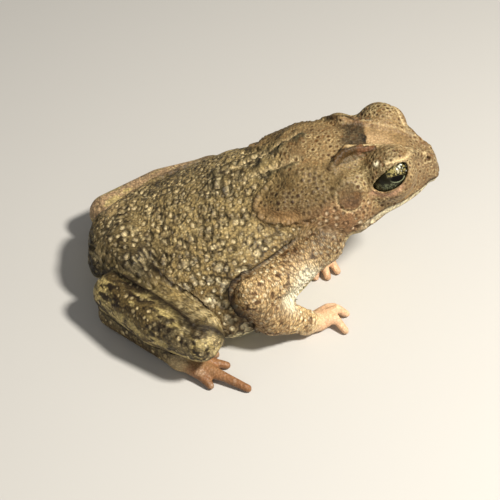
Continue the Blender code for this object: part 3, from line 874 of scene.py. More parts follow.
# Marks on the head, as places behind the snout, to the side and above the mouth: the white dot on
# the lid, the lens-shaped hollow inside the crest, the brow, the lower lid, the groove from the
# eye to the nostril, and the middles of the lid's dark patch and of its grains, of the temple and
# of the skin behind the corner of the mouth
LID_DOT = (12.6, 9.4, 10.1)
LENS_LINE = (
    (20.1, 7.2, 10.4),
    (18.9, 6.6, 10.3),
    (17.7, 6.0, 10.1),
    (15.3, 5.1, 10.3),
    (12.7, 4.7, 10.3),
)
BROW_LINE = (
    (10.4, 9.9, 10.3),
    (9.4, 9.8, 10.6),
    (8.3, 9.4, 10.5),
    (6.7, 8.3, 10.0),
    (5.8, 6.0, 9.0),
    (4.9, 3.6, 7.9),
)
LOWER_LID_LINE = (
    (13.5, 11.2, 4.5),
    (12.2, 11.9, 4.2),
    (10.7, 12.2, 4.3),
    (9.4, 12.2, 4.9),
    (8.1, 12.0, 6.1),
)
LOREAL_LINE = ((5.1, 4.2, 7.8), (4.1, 3.5, 7.1), (3.0, 2.9, 6.2))
UPPER_LID = (11.2, 8.6, 9.9)
LID_GRAINS = (10.5, 7.6, 10.0)
TEMPLE_MIDDLE = (15.5, 9.0, 8.0)
MOUTH_CORNER = (18.0, 12.6, -1.0)


def kind_of(name):
    """A part's name without its side."""
    return name.removesuffix("_right").removesuffix("_left")


def limb_axis(name):
    """The direction from the body's end of a limb part to its other end."""
    names, side = LIMBS[kind_of(name)][0], -1 if name.endswith("right") else 1
    return unit(joint(names[-1], side) - joint(names[0], side))


def linear(colour):
    """A screen colour from 0 to 255 as linear light."""
    c = vector(colour) / 255.0
    return np.where(c <= 0.04045, c / 12.92, ((c + 0.055) / 1.055) ** 2.4)


def mixed(a, b, amount):
    return a + (b - a) * np.clip(amount, 0.0, 1.0)[:, None]


def one_side(points):
    """The points with y away from the middle."""
    return np.stack([points[:, 0], np.abs(points[:, 1]), points[:, 2]], axis=1)


def height_on_torso(points):
    """-1 at the belly's lowest line, 0 where the torso is widest and 1 along the spine."""
    _, bottom, top, middle, _ = section_at(points[:, 0], TORSO)
    up = points[:, 2] - middle
    return np.where(up > 0, up / (top - middle), up / (middle - bottom))


def read_rows(items, field):
    """A vector of every item as an array."""
    flat = np.empty(len(items) * 3, dtype=np.float32)
    items.foreach_get(field, flat)
    return flat.reshape(-1, 3).astype(np.float64)


def store(mesh, name, values):
    """Keeps a number, a vector or a colour with each point of the mesh."""
    kinds = {1: ("FLOAT", "value"), 3: ("FLOAT_VECTOR", "vector"), 4: ("FLOAT_COLOR", "color")}
    kind, field = kinds[values.size // len(values)]
    data = mesh.attributes.new(name, kind, "POINT").data
    data.foreach_set(field, values.astype(np.float32).ravel())


class Hide:
    """The skin's points and normals, how much of each part they are, their lift and colour."""

    def __init__(self, obj, grid, parts):
        self.obj = obj
        self.points = read_rows(obj.data.vertices, "co")
        self.normals = read_rows(obj.data.vertex_normals, "vector")
        count = len(self.points)
        self.lift, self.crease, self.plain = np.zeros((3, count))
        self.colour = np.zeros((count, 3))
        self.gloss, self.cells = np.full(count, 0.45), np.full(count, 0.6)
        self.fields = {name: grid.read(field, self.points) for name, field in parts.items()}
        near = {name: np.exp(-field / BORDER) for name, field in self.fields.items()}
        total = sum(near.values())
        self.parts = {name: value / total for name, value in near.items()}
        x, y, z = self.points.T
        self.rump = rise(x, -19.0, -23.5) * rise(z, 12.6, 14.0)
        self.body = self.share("torso") + self.share("thigh") * self.rump
        self.thigh = self.share("thigh") * (1.0 - self.rump)
        self.skull = self.share("head")
        self.near_side = rise(y, 4.0, -2.0)
        self.height = height_on_torso(self.points)
        self.paired = one_side(self.points)
        self.head = to_head(self.points)
        self.half = one_side(self.head)
        self.jitter = 0.26 * two_noises(self.points, 0.75, 0.36, 17, 0.6)
        self.flow = flow_of(self)

    def share(self, *kinds):
        """How much of each point belongs to parts of those kinds, on both sides."""
        return sum(value for name, value in self.parts.items() if kind_of(name) in kinds)

    def limbs(self, *kinds):
        """The name, share and long axis of each limb part of those kinds."""
        names = [name for name in self.parts if kind_of(name) in kinds]
        return [(name, self.parts[name], limb_axis(name)) for name in names]

    def along_limbs(self, *kinds):
        """How far along its limb each point lies, as a vector, for limb parts of those kinds."""
        return sum(
            share[:, None] * (self.points @ axis)[:, None] * axis
            for _, share, axis in self.limbs(*kinds)
        )

    def paint(self, colour, amount):
        self.colour = mixed(self.colour, linear(colour), amount)

    def mark(self, colour, mask, amount=1.0, lift=0.0, plain=0.0):
        """Paints a mark on the head, raises it and keeps the small spots off it."""
        self.paint(colour, mask * self.skull * amount)
        self.lift += mask * self.skull * lift
        self.plain = np.maximum(self.plain, mask * plain)

    def shade(self, factor):
        """Darkens or lightens the colour by a factor."""
        self.colour *= factor[:, None]

    def write(self):
        """Moves the points out by their lift and stores the colours, in metres about the origin.
        The finest grain is read from points that are pressed together or drawn out along limbs."""
        mesh = self.obj.data
        places = (self.points + self.normals * self.lift[:, None] - vector(ORIGIN)) * METRES
        places[:, 2] = np.maximum(places[:, 2], 0.0)
        mesh.vertices.foreach_set("co", places.astype(np.float32).ravel())
        across_arms = self.along_limbs("upper_arm", "forearm") * 0.8
        store(mesh, "tint", np.insert(np.clip(self.colour, 0.0, 1.0), 3, 1.0, axis=1))
        store(mesh, "gloss", np.clip(self.gloss, 0.0, 1.0))
        store(mesh, "cells", np.clip(self.cells, 0.0, 1.0))
        store(mesh, "grain", self.points + across_arms - self.along_limbs("thigh") * 0.55)
        mesh.update()


def flow_of(hide):
    """The direction that the skin is drawn out along, as long as it is strong, from 0 to 1."""
    x, up = hide.points[:, 0], hide.height
    side = np.where(hide.points[:, 1] < 0, -1.0, 1.0)[:, None] * (0, 1, 0) + (1, 0, 1)
    areas = (
        (RUMP_FLOW, rise(x, -14.0, -24.0) * rise(up, 0.95, 0.75)),
        (FLANK_FLOW, rise(x, -12.0, -2.0) * rise(up, 0.85, 0.45)),
        (BACK_FLOW, rise(up, 0.45, 0.8) * rise(x, 2.0, -6.0)),
    )
    flow = sum(unit(vector(way)) * side * area[:, None] * much for (way, much), area in areas)
    flow *= hide.share("torso", "thigh")[:, None]
    for name, share, axis in hide.limbs(*LIMB_FLOW):
        flow += unit(np.cross(hide.normals, axis)) * share[:, None] * LIMB_FLOW[kind_of(name)]
    return flow


def raise_warts(hide, seeds, radius, height, stretch, shown, tip=0.5):
    """Rounded warts on the skin, drawn out along its flow, or pits where height is below 0. shown
    is how much of its top each wart shows. Returns three masks for each point: how near a wart's
    top it is, how near its foot, and how near the dark pore beside its top."""
    cap, foot, pore, bump = np.zeros((4, len(hide.points)))
    reach = float(radius.max()) * (1.35 + 0.6 * stretch)
    point, seed, distance = pairs_within(hide.points, hide.points[seeds], reach)
    apart = hide.points[point] - hide.points[seeds][seed]
    flow = hide.flow[seeds][seed] * stretch
    along = (apart * flow).sum(axis=1)
    distance = np.sqrt(np.maximum(distance**2 - 0.75 * along**2, 0.0))
    near = distance / radius[seed] * (1.0 + hide.jitter[point])
    facing = (hide.normals[point] * hide.normals[seeds][seed]).sum(axis=1) > 0.2
    facing &= near < 1.5
    point, seed, near, apart = point[facing], seed[facing], near[facing], apart[facing]
    dome = np.clip(1.0 - near**2, 0.0, 1.0) ** 1.5 * 0.7 + bell(near, tip) * 0.3
    np.maximum.at(bump, point, dome * np.abs(height[seed]))
    np.maximum.at(cap, point, rise(near, tip * 1.7, tip * 0.6) * shown[seed])
    np.maximum.at(foot, point, bell(near, 0.28, 1.05))
    away = length_of(apart - PORE_SHIFT * radius[seed][:, None])
    np.maximum.at(pore, point, bell(away, radius[seed] * 0.42))
    hide.lift += bump * np.sign(height.sum())
    return cap, foot, pore


def large_warts(hide):
    """The seats of the largest warts, in uneven rows over the back and flanks."""
    draw = random.Random(SEED)
    seats, sizes = [], []
    x = WART_ROWS[0]
    while x < WART_ROWS[1]:
        angle = math.radians(-10.0 + draw.uniform(0.0, 12.0))
        while angle < math.radians(190.0):
            centre, place = torso_surface(x + draw.uniform(-1.2, 1.2), angle)
            sizes.append(draw.uniform(*WART_RADII))
            angle += (WART_SPACING + draw.uniform(-0.8, 0.8)) / length_of(place - centre)
            seats.append(place)
        x += WART_ROWS[2]
    seats, sizes = vector(seats), vector(sizes)
    point, seat, distance = pairs_within(hide.points, seats, 1.2)
    order = np.lexsort((distance, seat))
    seat, first = np.unique(seat[order], return_index=True)
    numbers = point[order][first]
    on_torso = hide.body[numbers] > 0.85
    return numbers[on_torso], sizes[seat][on_torso]


def torso_surface(x, angle):
    """The middle and the surface of the torso at x, at an angle over the back from its left."""
    width, bottom, top, middle, over = (float(value) for value in section_at(x, TORSO))
    c, s = math.cos(angle), math.sin(angle)
    tall, power = (top - middle, over) if s > 0 else (middle - bottom, BELLY_ROUNDNESS)
    reach = (abs(c) ** power + abs(s) ** power) ** (-1 / power)
    centre = vector(x, 0.0, middle)
    return centre, centre + (0.0, width * c * reach, tall * s * reach)


def furrows(hide, across, spacing, depth, amount, seed, waver=1.1):
    """Thin uneven furrows in rows. across is the direction from one furrow to the next."""
    drift = rough_noise(hide.points, 2.6, seed) * waver + noise(hide.points, 0.9, seed + 5) * 0.25
    phase = ((hide.points * across).sum(axis=1) + drift) / spacing * math.pi
    groove = bell(np.sin(phase), 0.62) * amount
    groove *= rise(noise(hide.points, 2.2, seed + 9), -0.75, 0.3)
    hide.lift -= groove * depth
    return groove


def line_share(points, line, width):
    """1 on a line through the given places, falling to 0 over about that width."""
    least = np.full(len(points), 1e9)
    for a, b in zip(line, line[1:]):
        a, b = vector(a), vector(b)
        t = np.clip((points - a) @ (b - a) / ((b - a) @ (b - a)), 0.0, 1.0)
        least = np.minimum(least, length_of(points - a - t[:, None] * (b - a)))
    return bell(least, width)


def moved(line, *by):
    return [vector(place) + by for place in line]


def snapped(points, place):
    """The one of the points that is nearest to a place."""
    return points[np.argmin(((points - vector(place)) ** 2).sum(axis=1))]


def traced(points, line):
    """The line laid on the skin, with a place about every half millimetre."""
    places = []
    for a, b in zip(line, line[1:]):
        a, b = vector(a), vector(b)
        steps = max(int(length_of(b - a) / 0.5), 1)
        places += [a + (b - a) * step / steps for step in range(steps)]
    return [snapped(points, place) for place in (*places, line[-1])]


def spot(points, place, radius):
    return bell(length_of(points - vector(place)), radius)


def deepen_creases(hide):
    """The creases where the limbs lie against the body and are folded on themselves: sunk, with
    painted shade beside them, and marked for the painted shade laid in them at the end.
    """
    x, y, _ = hide.points.T
    for suffix, side in SIDES:
        for first, second, depth, (rear, full, fade, front) in CREASES:
            a = hide.fields[first if first == "torso" else first + suffix]
            b = hide.fields[second + suffix]
            lasting = rise(x, rear, full) * rise(x, front, fade)
            if side > 0:
                lasting *= LEFT_CREASES
            touch = bell(a - b, 0.6) * rise(np.maximum(a, b), 1.6, 0.6)
            near = bell(a - b, 1.5) * rise(np.maximum(a, b), 2.6, 0.6)
            hide.lift -= touch * depth * lasting
            hide.crease = np.maximum(hide.crease, touch * lasting)
            # Painted shade beside each crease
            hide.shade(1.0 - 0.45 * near * lasting)
    # The rear end of the crease over the thigh, sunk and marked for painted shade
    rear_end = line_share(hide.paired, RUMP_CREASE, 0.5) * rise(y, 3.0, 0.0)
    hide.lift -= rear_end * 0.5
    hide.crease = np.maximum(hide.crease, rear_end * 0.8)


def paint_body(hide):
    """The ground colours of every part, before warts and marks, with painted shade over the rump,
    deepest on the near side.
    """
    p, up, (x, _, z) = hide.points, hide.height, hide.points.T
    fine, middle, broad = noise(p, 0.8, 3), rough_noise(p, 2.4, 4), rough_noise(p, 7.0, 5)
    hide.paint(OLIVE, np.ones(len(p)))
    hide.paint(BACK, rise(up + broad * 0.25, 0.35, 0.8))
    hide.paint(FLANK, rise(up + broad * 0.2, 0.5, 0.0) * rise(x, -24, -8))
    rump = rise(x + broad * 3, -18, -26) * rise(up, 0.98, 0.75)
    # Painted shade: the rump darkened, more on the near side
    hide.paint(RUMP_SHADE_COLOUR, rump * (0.4 + 0.6 * hide.near_side))
    hide.paint(BELLY, rise(up + middle * 0.12, 0.0, -0.4))
    for tone, *kinds in GROUNDS:
        hide.paint(tone, hide.thigh if tone is THIGH else hide.share(*kinds))
    hide.paint(FAR_LEG, (hide.parts["thigh_left"] + hide.parts["shank_left"]) * 0.75)
    # Painted shade over the lower rump on the near side, and uneven tone all over
    rear = rise(x, -20.5, -27.5) * hide.near_side * rise(z, 17.5, 14.5)
    rear *= hide.share("torso", "thigh")
    hide.shade((1.0 - 0.6 * rear) * (1.0 + 0.24 * middle + 0.12 * broad + 0.12 * fine))
    hide.cells += 0.2 * hide.share("upper_arm", "forearm") - 0.2 * hide.share("head", "parotoid")
    hide.cells -= 0.5 * hide.share("hand", "foot")


def grow_body_warts(hide):
    """Warts over the torso: dark-pored on the back, larger and cream-topped down the flanks, and a
    spot of painted shade on the rump.
    """
    p, up, draw = hide.points, hide.height, np.random.default_rng(SEED)
    x, torso = p[:, 0], rise(hide.body, 0.6, 0.95)
    flank = rise(up, 0.75, 0.45) * rise(up, -0.5, -0.2) * rise(x, -21.0, -13.0)
    rump, above_belly = rise(x, -17.0, -24.0), rise(up, -0.6, -0.3)
    across = unit(np.cross(hide.normals, unit(hide.flow + 1e-9)))
    amount = torso * np.clip(length_of(hide.flow) * 2.0, 0, 1) * rise(up, -0.7, -0.3)
    hide.paint(DARK, furrows(hide, across, 1.05, 0.16, amount, 31, 0.9) * 0.45)

    big, sizes = large_warts(hide)
    shown = draw.uniform(0.55, 1.0, len(big))
    tall = 0.5 + 0.2 * flank[big]
    cap, foot, pore = raise_warts(hide, big, sizes * 0.9, tall, 0.5, shown, 0.55)
    hide.paint(DARK, foot * torso * 0.85)
    hide.paint(TAN, cap * torso * 0.7)
    hide.paint(CREAM, cap * torso * flank * (1.0 - 0.7 * rump) * 0.9)
    hide.paint(PORE_AND_SHADE, pore * torso * rise(up, 0.4, 0.75) * 0.8)

    streak = p - hide.flow * (p * hide.flow).sum(axis=1)[:, None] * 0.8
    fleck = rise(two_noises(streak, 0.85, 0.4, 66), 0.1, 0.7)
    pale = rise(two_noises(streak, 0.8, 0.4, 68), 0.15, 0.8)
    hide.paint(DARK, fleck * torso * above_belly * (0.55 + 0.25 * rump))
    hide.paint(TAN, pale * torso * above_belly * 0.5)

    taken = np.zeros(len(p))
    point, seed, distance = pairs_within(p, p[big], 1.5)
    taken[point[distance < sizes[seed] * 0.7]] = 1.0
    belly = rise(up, -0.3, -0.6)
    room = 1.4 + 0.5 * noise(p, 2.4, 65) - 0.25 * belly
    seeds = scatter(p, np.where((hide.body > 0.3) & (taken == 0), room, 0.0), SEED + 1)
    size = 0.34 + 0.56 * draw.random(len(seeds)) ** 1.7
    tall = size * draw.uniform(0.6, 1.2, len(seeds)) * (1.0 - 0.6 * belly[seeds])
    shown = draw.random(len(seeds)) ** 0.6
    cap, foot, pore = raise_warts(hide, seeds, size, tall, 1.0, shown, 0.55)
    fade = 1.0 - 0.75 * belly
    rear = rise(x, -14.0, -20.0) * rise(up, 0.95, 0.75)
    hide.paint(DARK, foot * torso * 0.65 * fade)
    hide.paint(TAN, cap * torso * (0.95 - 0.4 * rear) * fade)
    hide.paint(CREAM, cap * torso * (0.25 + 0.75 * flank) * (1.0 - 0.9 * rear))
    on_back = rise(up, 0.3, 0.65) * (1.0 - 0.4 * rump)
    hide.paint(PORE_AND_SHADE, pore * torso * on_back * rise(noise(p, 2.1, 62), -0.5, 0.2))
    # A spot of painted shade on the rump
    hide.shade(1.0 - 0.35 * spot(p, RUMP_SHADE, 5.5))


def grow_limb_warts(hide):
    """Granules in rows across the arms, streaks along the thighs, and mottled, warty shanks."""
    p, draw = hide.points, np.random.default_rng(SEED + 20)
    arms = rise(hide.share("upper_arm", "forearm"), 0.3, 0.8)
    legs = rise(hide.share("shank", "thigh", "tarsus"), 0.4, 0.85) * (1.0 - hide.rump)
    for name, share, axis in hide.limbs("upper_arm", "forearm", "thigh"):
        if kind_of(name) == "thigh":
            share = share * (1.0 - hide.rump)
            across = unit(np.cross(hide.normals, axis))
            rows = furrows(hide, across, 1.25, 0.26, share, 43)
            hide.paint(DARK, rows * 0.9)
            hide.paint(TAN, (1.0 - rows) * share * rise(noise(p, 1.0, 44), -0.2, 0.6) * 0.35)
        else:
            rows = furrows(hide, axis, 1.15, 0.2, share * 0.95, 41)
            hide.paint(BROWN, rows * 0.65)

    seeds = scatter(p, np.where(arms > 0.6, 0.98 + 0.3 * noise(p, 1.8, 42), 0.0), SEED + 3)
    size = 0.3 + 0.34 * draw.random(len(seeds))
    shown = draw.random(len(seeds)) ** 0.7
    tall = draw.uniform(0.08, 0.24, len(seeds))
    cap, foot, _ = raise_warts(hide, seeds, size, tall, 0.9, shown)
    hide.paint(CREAM, cap * arms * 0.75)
    hide.paint(BROWN, foot * arms * 0.55)
    hollow = noise(p, 0.8, 63) + 0.35 * rough_noise(p, 3.2, 45)
    hide.paint(BROWN, rise(hollow, 0.2, 0.65) * arms * 0.85)
    hide.paint(PORE_AND_SHADE, rise(hollow, 0.45, 0.9) * arms * 0.7)

    thigh, shank, near_leg = hide.thigh, hide.share("shank"), hide.near_side
    drawn = p - hide.along_limbs("shank", "thigh") * 0.55
    mottle = rise(rough_noise(drawn, 1.5, 51) + 0.35 * noise(drawn, 0.6, 52), 0.1, 0.35)
    yellow = rise(rough_noise(drawn, 2.0, 53) - 0.3 * mottle, -0.1, 0.25)
    fleck = rise(two_noises(drawn, 0.75, 0.36, 54), 0.15, 0.6)
    mottled = shank + hide.share("tarsus") * 0.6
    hide.paint(SHANK_YELLOW, yellow * shank * 0.85)
    hide.paint(DARK, mottle * mottled * (0.15 + 0.8 * near_leg))
    hide.paint(DARK, fleck * (shank + thigh * 0.45) * (0.15 + 0.6 * near_leg))
    seeds = scatter(p, np.where(legs > 0.5, 1.25 + 0.5 * noise(p, 2.2, 56), 0.0), SEED + 2)
    size = 0.3 + 0.42 * draw.random(len(seeds)) ** 1.6
    shown = draw.random(len(seeds)) ** 1.6
    tall = size * draw.uniform(0.2, 0.5, len(seeds))
    cap, foot, pore = raise_warts(hide, seeds, size, tall, 0.6, shown)
    hide.paint(DARK, foot * legs * 0.35 + pore * legs * 0.4)
    hide.paint(TAN, cap * legs * (1.0 - 0.45 * thigh))
    knees = spot(p, joint("knee", -1) + (0.5, -0.5, 1.0), 6.0) + spot(p, joint("knee", 1), 6.0)
    hide.paint(TAN, knees * rise(noise(p, 0.8, 64), -0.4, 0.5) * 0.6)


def paint_limb_marks(hide):
    """Brown skin and painted shade under the elbow, painted shade where the arms meet the body, the
    pale fold inside the elbow, and the smooth tan hands and feet.
    """
    p = hide.points
    upper, fore = hide.parts["upper_arm_right"], hide.parts["forearm_right"]
    arm, patch = upper + fore, rise(rough_noise(p, 3.0, 71), -0.1, 0.5)
    # Brown skin darkened by painted shade under the elbow
    elbow = spot(p, joint("elbow", -1) + (-0.5, -2.0, -4.0), 5.2)
    hide.paint(ARM_BROWN_AND_SHADE, elbow * arm * (0.5 + 0.4 * patch))
    # Painted shade where each arm meets the body
    shoulders = sum(spot(p, place, 6.0) for place in SHOULDER_SHADES)
    hide.paint(SHOULDER_SHADE_BROWN, shoulders * (0.7 + 0.35 * patch))
    wedge = np.minimum(line_share(p, INNER_FOLD, 2.6) * 2.0, 1.0) * rise(arm, 0.3, 0.7)
    pleats = np.sin((p @ vector(0.75, 0.0, 0.65)) * 7.0 + 0.8 * noise(p, 1.5, 73))
    hide.paint(INNER_ELBOW, wedge * (0.9 + 0.1 * pleats))
    hide.lift -= 0.06 * wedge * pleats
    forearm = spot(p, joint("forearm", -1) + (0.0, -3.0, 0.0), 4.5)
    hide.paint(BROWN, forearm * fore * patch * 0.6)
    hide.paint(ARM_BROWN_AND_SHADE, spot(p, (5.5, -18.0, 21.3), 2.6) * upper * 0.6)
    feet, tint = hide.share("hand", "foot"), rough_noise(p, 2.0, 72)
    hide.paint(WEB, feet * rise(tint, 0.1, 0.5) * 0.35)
    hide.paint(BROWN, feet * rise(tint, -0.15, -0.5) * 0.35)
    hide.gloss += feet * 0.25


def grow_gland_pores(hide):
    """The big gland behind each ear: smooth, pinkish below, full of dark pores, with painted shade
    in the groove round its edge.
    """
    p, draw, gland = hide.points, np.random.default_rng(SEED + 11), hide.share("parotoid")
    low = rise(p[:, 2] + noise(p, 2.0, 81) * 0.8, 28.0, 25.5)
    hide.paint(GLAND_PINK, gland * low * (0.5 + 0.3 * noise(p, 1.6, 85)))
    edge = bell(gland, 0.2, 0.42) * rise(hide.share("head", "torso"), 0.0, 0.4)
    rear = rise(p[:, 0], 6.0, 1.0) * rise(p[:, 2], 29.0, 26.0)
    hide.lift += 0.55 * rise(gland, 0.4, 0.95) * (1.0 + 0.6 * noise(p, 2.2, 84)) - 0.3 * edge
    # Painted shade in the groove round each gland, more at its rear and low down
    hide.paint(PORE_AND_SHADE, edge * (0.3 + 0.3 * rear))
    hide.shade(1.0 + 0.25 * gland * rough_noise(p, 1.6, 83))
    seeds = scatter(p, np.where(gland > 0.45, 1.05 + 0.35 * noise(p, 1.9, 82), 0.0), SEED + 4)
    seeds = seeds[low[seeds] < draw.uniform(0.1, 1.1, len(seeds))]
    size = 0.3 + 0.4 * draw.random(len(seeds))
    shown = draw.uniform(0.4, 1.0, len(seeds))
    deep = -draw.uniform(0.08, 0.2, len(seeds))
    cap, foot, _ = raise_warts(hide, seeds, size, deep, 0.3, shown)
    hide.paint(TAN, foot * gland * 0.15)
    hide.paint(PORE_AND_SHADE, np.minimum(cap * 1.4, 1.0) * gland)


def paint_head(hide):
    """Crown, crests, lids, temples, brows and nostrils, the same on both sides but fainter on the
    far one, with painted shade over the far half of the crown and inside the far crests, and then
    the mouth and the ears."""
    p, half, mark = hide.head, hide.half, hide.mark
    behind, away, above = half.T
    rough, fine = rough_noise(p, 2.2, 91), noise(p, 0.7, 92)
    far = rise(p[:, 1], -0.5, 0.5)
    mark(SNOUT_TAN, rise(behind, 7.0, 4.0))
    mark(CHEEK, rise(above, 6.0, 3.0) * rise(behind, 12.5, 16.0) * rise(away, 7.5, 9.5))
    crown = rise(above, 6.0, 8.0) * rise(away - 0.04 * (behind - 8.0), 4.4, 3.3)
    crown *= rise(behind, 13.9, 13.4) * rise(behind + rough * 2.5, 7.0, 10.5)
    # The pale crown, dimmed by painted shade over its far half
    mark(CROWN, crown, 0.3 + 0.7 * rise(p[:, 1], 3.4, -1.6))
    dark = rise(behind + 0.5 * noise(p, 1.3, 93), 13.6, 14.0) * rise(above, 7.0, 8.0)
    dark *= rise(behind + 2.4 * rough, 20.5, 17.0) * rise(away + 0.8 * rough, 4.2, 3.2)
    mark(CROWN_DARK, dark, 0.9 + 0.3 * rough, plain=0.7)
    mark(LID_OLIVE, spot(half, UPPER_LID, 4.2), 0.75)

    for line, _ in CRESTS[:3]:
        if line is REAR_CREST:
            line = moved(line, -0.2, -0.9, 0.3)
        line = traced(half, line)
        beside = line_share(half, moved(line, 0.0, 0.75, -0.3), 0.32)
        inside = line_share(half, moved(line, 0.0, -0.75, 0.0), 0.4)
        ridge = line_share(half, line, 0.32)
        mark(BROWN, beside, rise(fine + rough, -0.5, 0.6) * 0.6)
        mark(PALE_LINE, ridge, (0.75 + 0.25 * fine) * (1.0 - 0.6 * far), lift=0.15)
        # Painted shadow of the far lid inside each crest on the far side
        mark(BROWN, inside * far, 0.7)
    lens = np.minimum(line_share(half, traced(half, LENS_LINE), 0.52) * 1.6, 1.0)
    for by in ((0.0, 0.25, -0.6), (-0.3, -0.55, 0.6)):
        edge = line_share(half, traced(half, moved(LENS_LINE[:4], *by)), 0.5)
        lens = np.maximum(lens, np.minimum(edge * 1.6, 1.0))
    mark(REDDISH, lens, 0.95 - 0.4 * far, lift=-0.3, plain=1.0)
    mark(LENS_OLIVE, lens, rise(behind, 15.4, 16.4) * 0.9)
    mark(DARK, rise(lens, 0.05, 0.3) * rise(lens, 0.95, 0.6), 0.9)
    mark(TEMPLE, spot(half, TEMPLE_MIDDLE, 4.5) * rise(above, 10.2, 9.4), 0.7)
    dot = spot(half, snapped(half, LID_DOT), 0.42)
    mark(CREAM, np.minimum(dot * 1.8, 1.0) * (1.0 - far), plain=1.0)

    brow, lid = traced(half, BROW_LINE), traced(half, LOWER_LID_LINE)
    mark(PALE_LINE, line_share(half, brow, 0.42), 0.9, lift=0.4, plain=1.0)
    mark(LID_PINK, line_share(half, lid, 0.65), 0.8, lift=0.4, plain=1.0)
    below_lid = line_share(half, traced(half, moved(LOWER_LID_LINE, 0.0, -0.3, -1.3)), 0.35)
    mark(PORE_AND_SHADE, below_lid, rise(rough, -0.4, 0.3) * 0.8, lift=-0.15)
    hollow = traced(half, LOREAL_LINE)
    hide.lift -= line_share(half, hollow, 1.0) * 0.35 * hide.skull
    mark(PORE_AND_SHADE, line_share(half, hollow, 0.55), 0.6)
    mark(PORE_AND_SHADE, spot(half, vector(NOSTRIL) + (0.0, 0.3, 0.1), 0.6))
    paint_mouth(hide)
    paint_ears(hide)


def paint_mouth(hide):
    """A thin dark mouth line over a pale lip, reddish behind its corner."""
    behind, _, above = hide.half.T
    level = above - mouth_height(behind) - 0.6 * rise(behind, 15.0, 9.0)
    level -= 0.5 * rise(behind, 9.0, 3.0)
    front = rise(behind, 19.2, 18.2) * hide.skull
    line = bell(level, 0.3) * front
    lip = rise(level, -0.15, -0.4) * rise(level, -2.4, -1.7) * rise(behind, 18.0, 15.0)
    hide.mark(LIP, lip, 0.8)
    hide.lift += bell(level, 0.5, -0.7) * front * 0.12
    hide.lift -= line * 0.3
    hide.paint(DARK, line * 0.9)
    hide.mark(REDDISH, spot(hide.half, MOUTH_CORNER, 4.2), 0.45)


def paint_ears(hide):
    """Each drum sunk a little in its thin pale ring."""
    blotches = 0.65 + 0.3 * rough_noise(hide.points, 1.6, 99)
    for side in (-1, 1):
        a, b, c = ((hide.points - ear_centre(side)) @ ear_turn(side).T).T
        out, near = oval(a, b, EAR_RADII), rise(np.abs(c), 2.5, 1.5) * hide.skull
        drum, ring = rise(out, 1.02, 0.94) * near, bell(out, 0.08, 1.1) * near
        hide.paint(EAR_BROWN, rise(out, 1.2, 0.6) * near * blotches)
        hide.lift += ring * 0.18 - drum * 0.22
        hide.paint(PALE_LINE, ring * (0.15 + 0.5 * rise(b + a * 0.8, 1.2, -0.6)))
        hide.paint(PORE_AND_SHADE, bell(out, 0.05, 0.97) * near * 0.4)
        hide.gloss += drum * 0.2


def grow_head_spots(hide):
    """Small dark spots with pale rims, granular lids and whitish warts behind the mouth."""
    p, head, draw = hide.points, hide.skull, np.random.default_rng(SEED + 12)
    behind, away, above = hide.half.T
    lid = spot(hide.half, LID_GRAINS, 4.2)
    in_ear = spot(hide.half, vector(EAR) + (0.0, 1.0, 0.0), 2.6) > 0.4
    room = 1.0 - 0.25 * lid + 0.3 * noise(p, 1.8, 94)
    seeds = scatter(p, np.where((head > 0.6) & ~in_ear, room, 0.0), SEED + 5)
    size = 0.25 + 0.33 * draw.random(len(seeds)) ** 1.5
    tall = draw.uniform(0.05, 0.18, len(seeds)) + 0.26 * lid[seeds]
    shown = draw.random(len(seeds)) ** 0.6
    cap, foot, _ = raise_warts(hide, seeds, size, tall, 0.0, shown)
    smooth_crown = rise(away, 3.6, 2.6) * rise(above, 6.5, 8.0) * rise(behind, 14.0, 13.0)
    bare = head * (1.0 - hide.plain)
    shows = bare * (1.0 - 0.85 * smooth_crown) * rise(noise(p, 2.2, 96), -0.7, -0.1)
    spots = np.minimum(cap * 1.3, 1.0) * shows
    hide.paint(TAN, foot * shows * (0.3 + 0.3 * noise(p, 3.0, 90)))
    hide.paint(BROWN, spots)
    hide.paint(PORE_AND_SHADE, spots * (0.7 + 0.2 * lid))
    blotch = rise(two_noises(p, 1.1, 0.5, 97), 0.25, 0.75)
    hide.paint(BROWN, blotch * bare * (1.0 - 0.8 * smooth_crown) * 0.5)

    cheek = rise(behind, 12.5, 14.5) * rise(above, 4.0, 2.5) * rise(away, 8.0, 10.0) * ~in_ear
    seeds = scatter(p, np.where((head > 0.5) & (cheek > 0.5), 1.35, 0.0), SEED + 6)
    size = 0.3 + 0.35 * draw.random(len(seeds)) ** 1.5
    shown = draw.random(len(seeds)) ** 0.8
    tall = draw.uniform(0.15, 0.35, len(seeds))
    cap, foot, _ = raise_warts(hide, seeds, size, tall, 0.0, shown)
    hide.paint(DARK, foot * cheek * 0.45)
    hide.paint(WHITE, cap * cheek * 0.85)


def paint_back_marks(hide):
    """Folds beside the spine with a painted highlight along their lit ridges and painted shade in
    the hollows between them, and a faint pale mid-line.
    """
    p, paired, back = hide.points, hide.paired, hide.share("torso", "head", "parotoid")
    wavy = paired + 0.5 * noise(p, 2.0, 101)[:, None] * (0, 1, 0)
    uneven = p + noise(p, 1.5, 103)[:, None] * 0.7
    fold = line_share(wavy, traced(paired, FOLD_LINE), 0.75)
    hide.lift += fold * 0.65
    # Painted highlight along the lit ridge of each fold
    hide.paint(PALE_LINE, fold * back * 0.7)
    beside = line_share(wavy, traced(paired, moved(FOLD_LINE, 0.0, 1.5, -0.7)), 0.7)
    beside *= rise(noise(p, 2.4, 102), -0.6, 0.2)
    hide.lift -= beside * 0.4
    hide.paint(SHADE_GREEN, beside * back * 0.75)
    for place, radius in HOLLOWS:
        hollow = np.minimum(spot(uneven, snapped(p, place), radius) * 1.3, 1.0)
        hide.lift -= hollow * 0.7
        hide.paint(SHADE_GREEN, hollow * 0.9)
    hide.paint(PALE_LINE, line_share(wavy, traced(p, MID_LINE), 0.4) * 0.6)


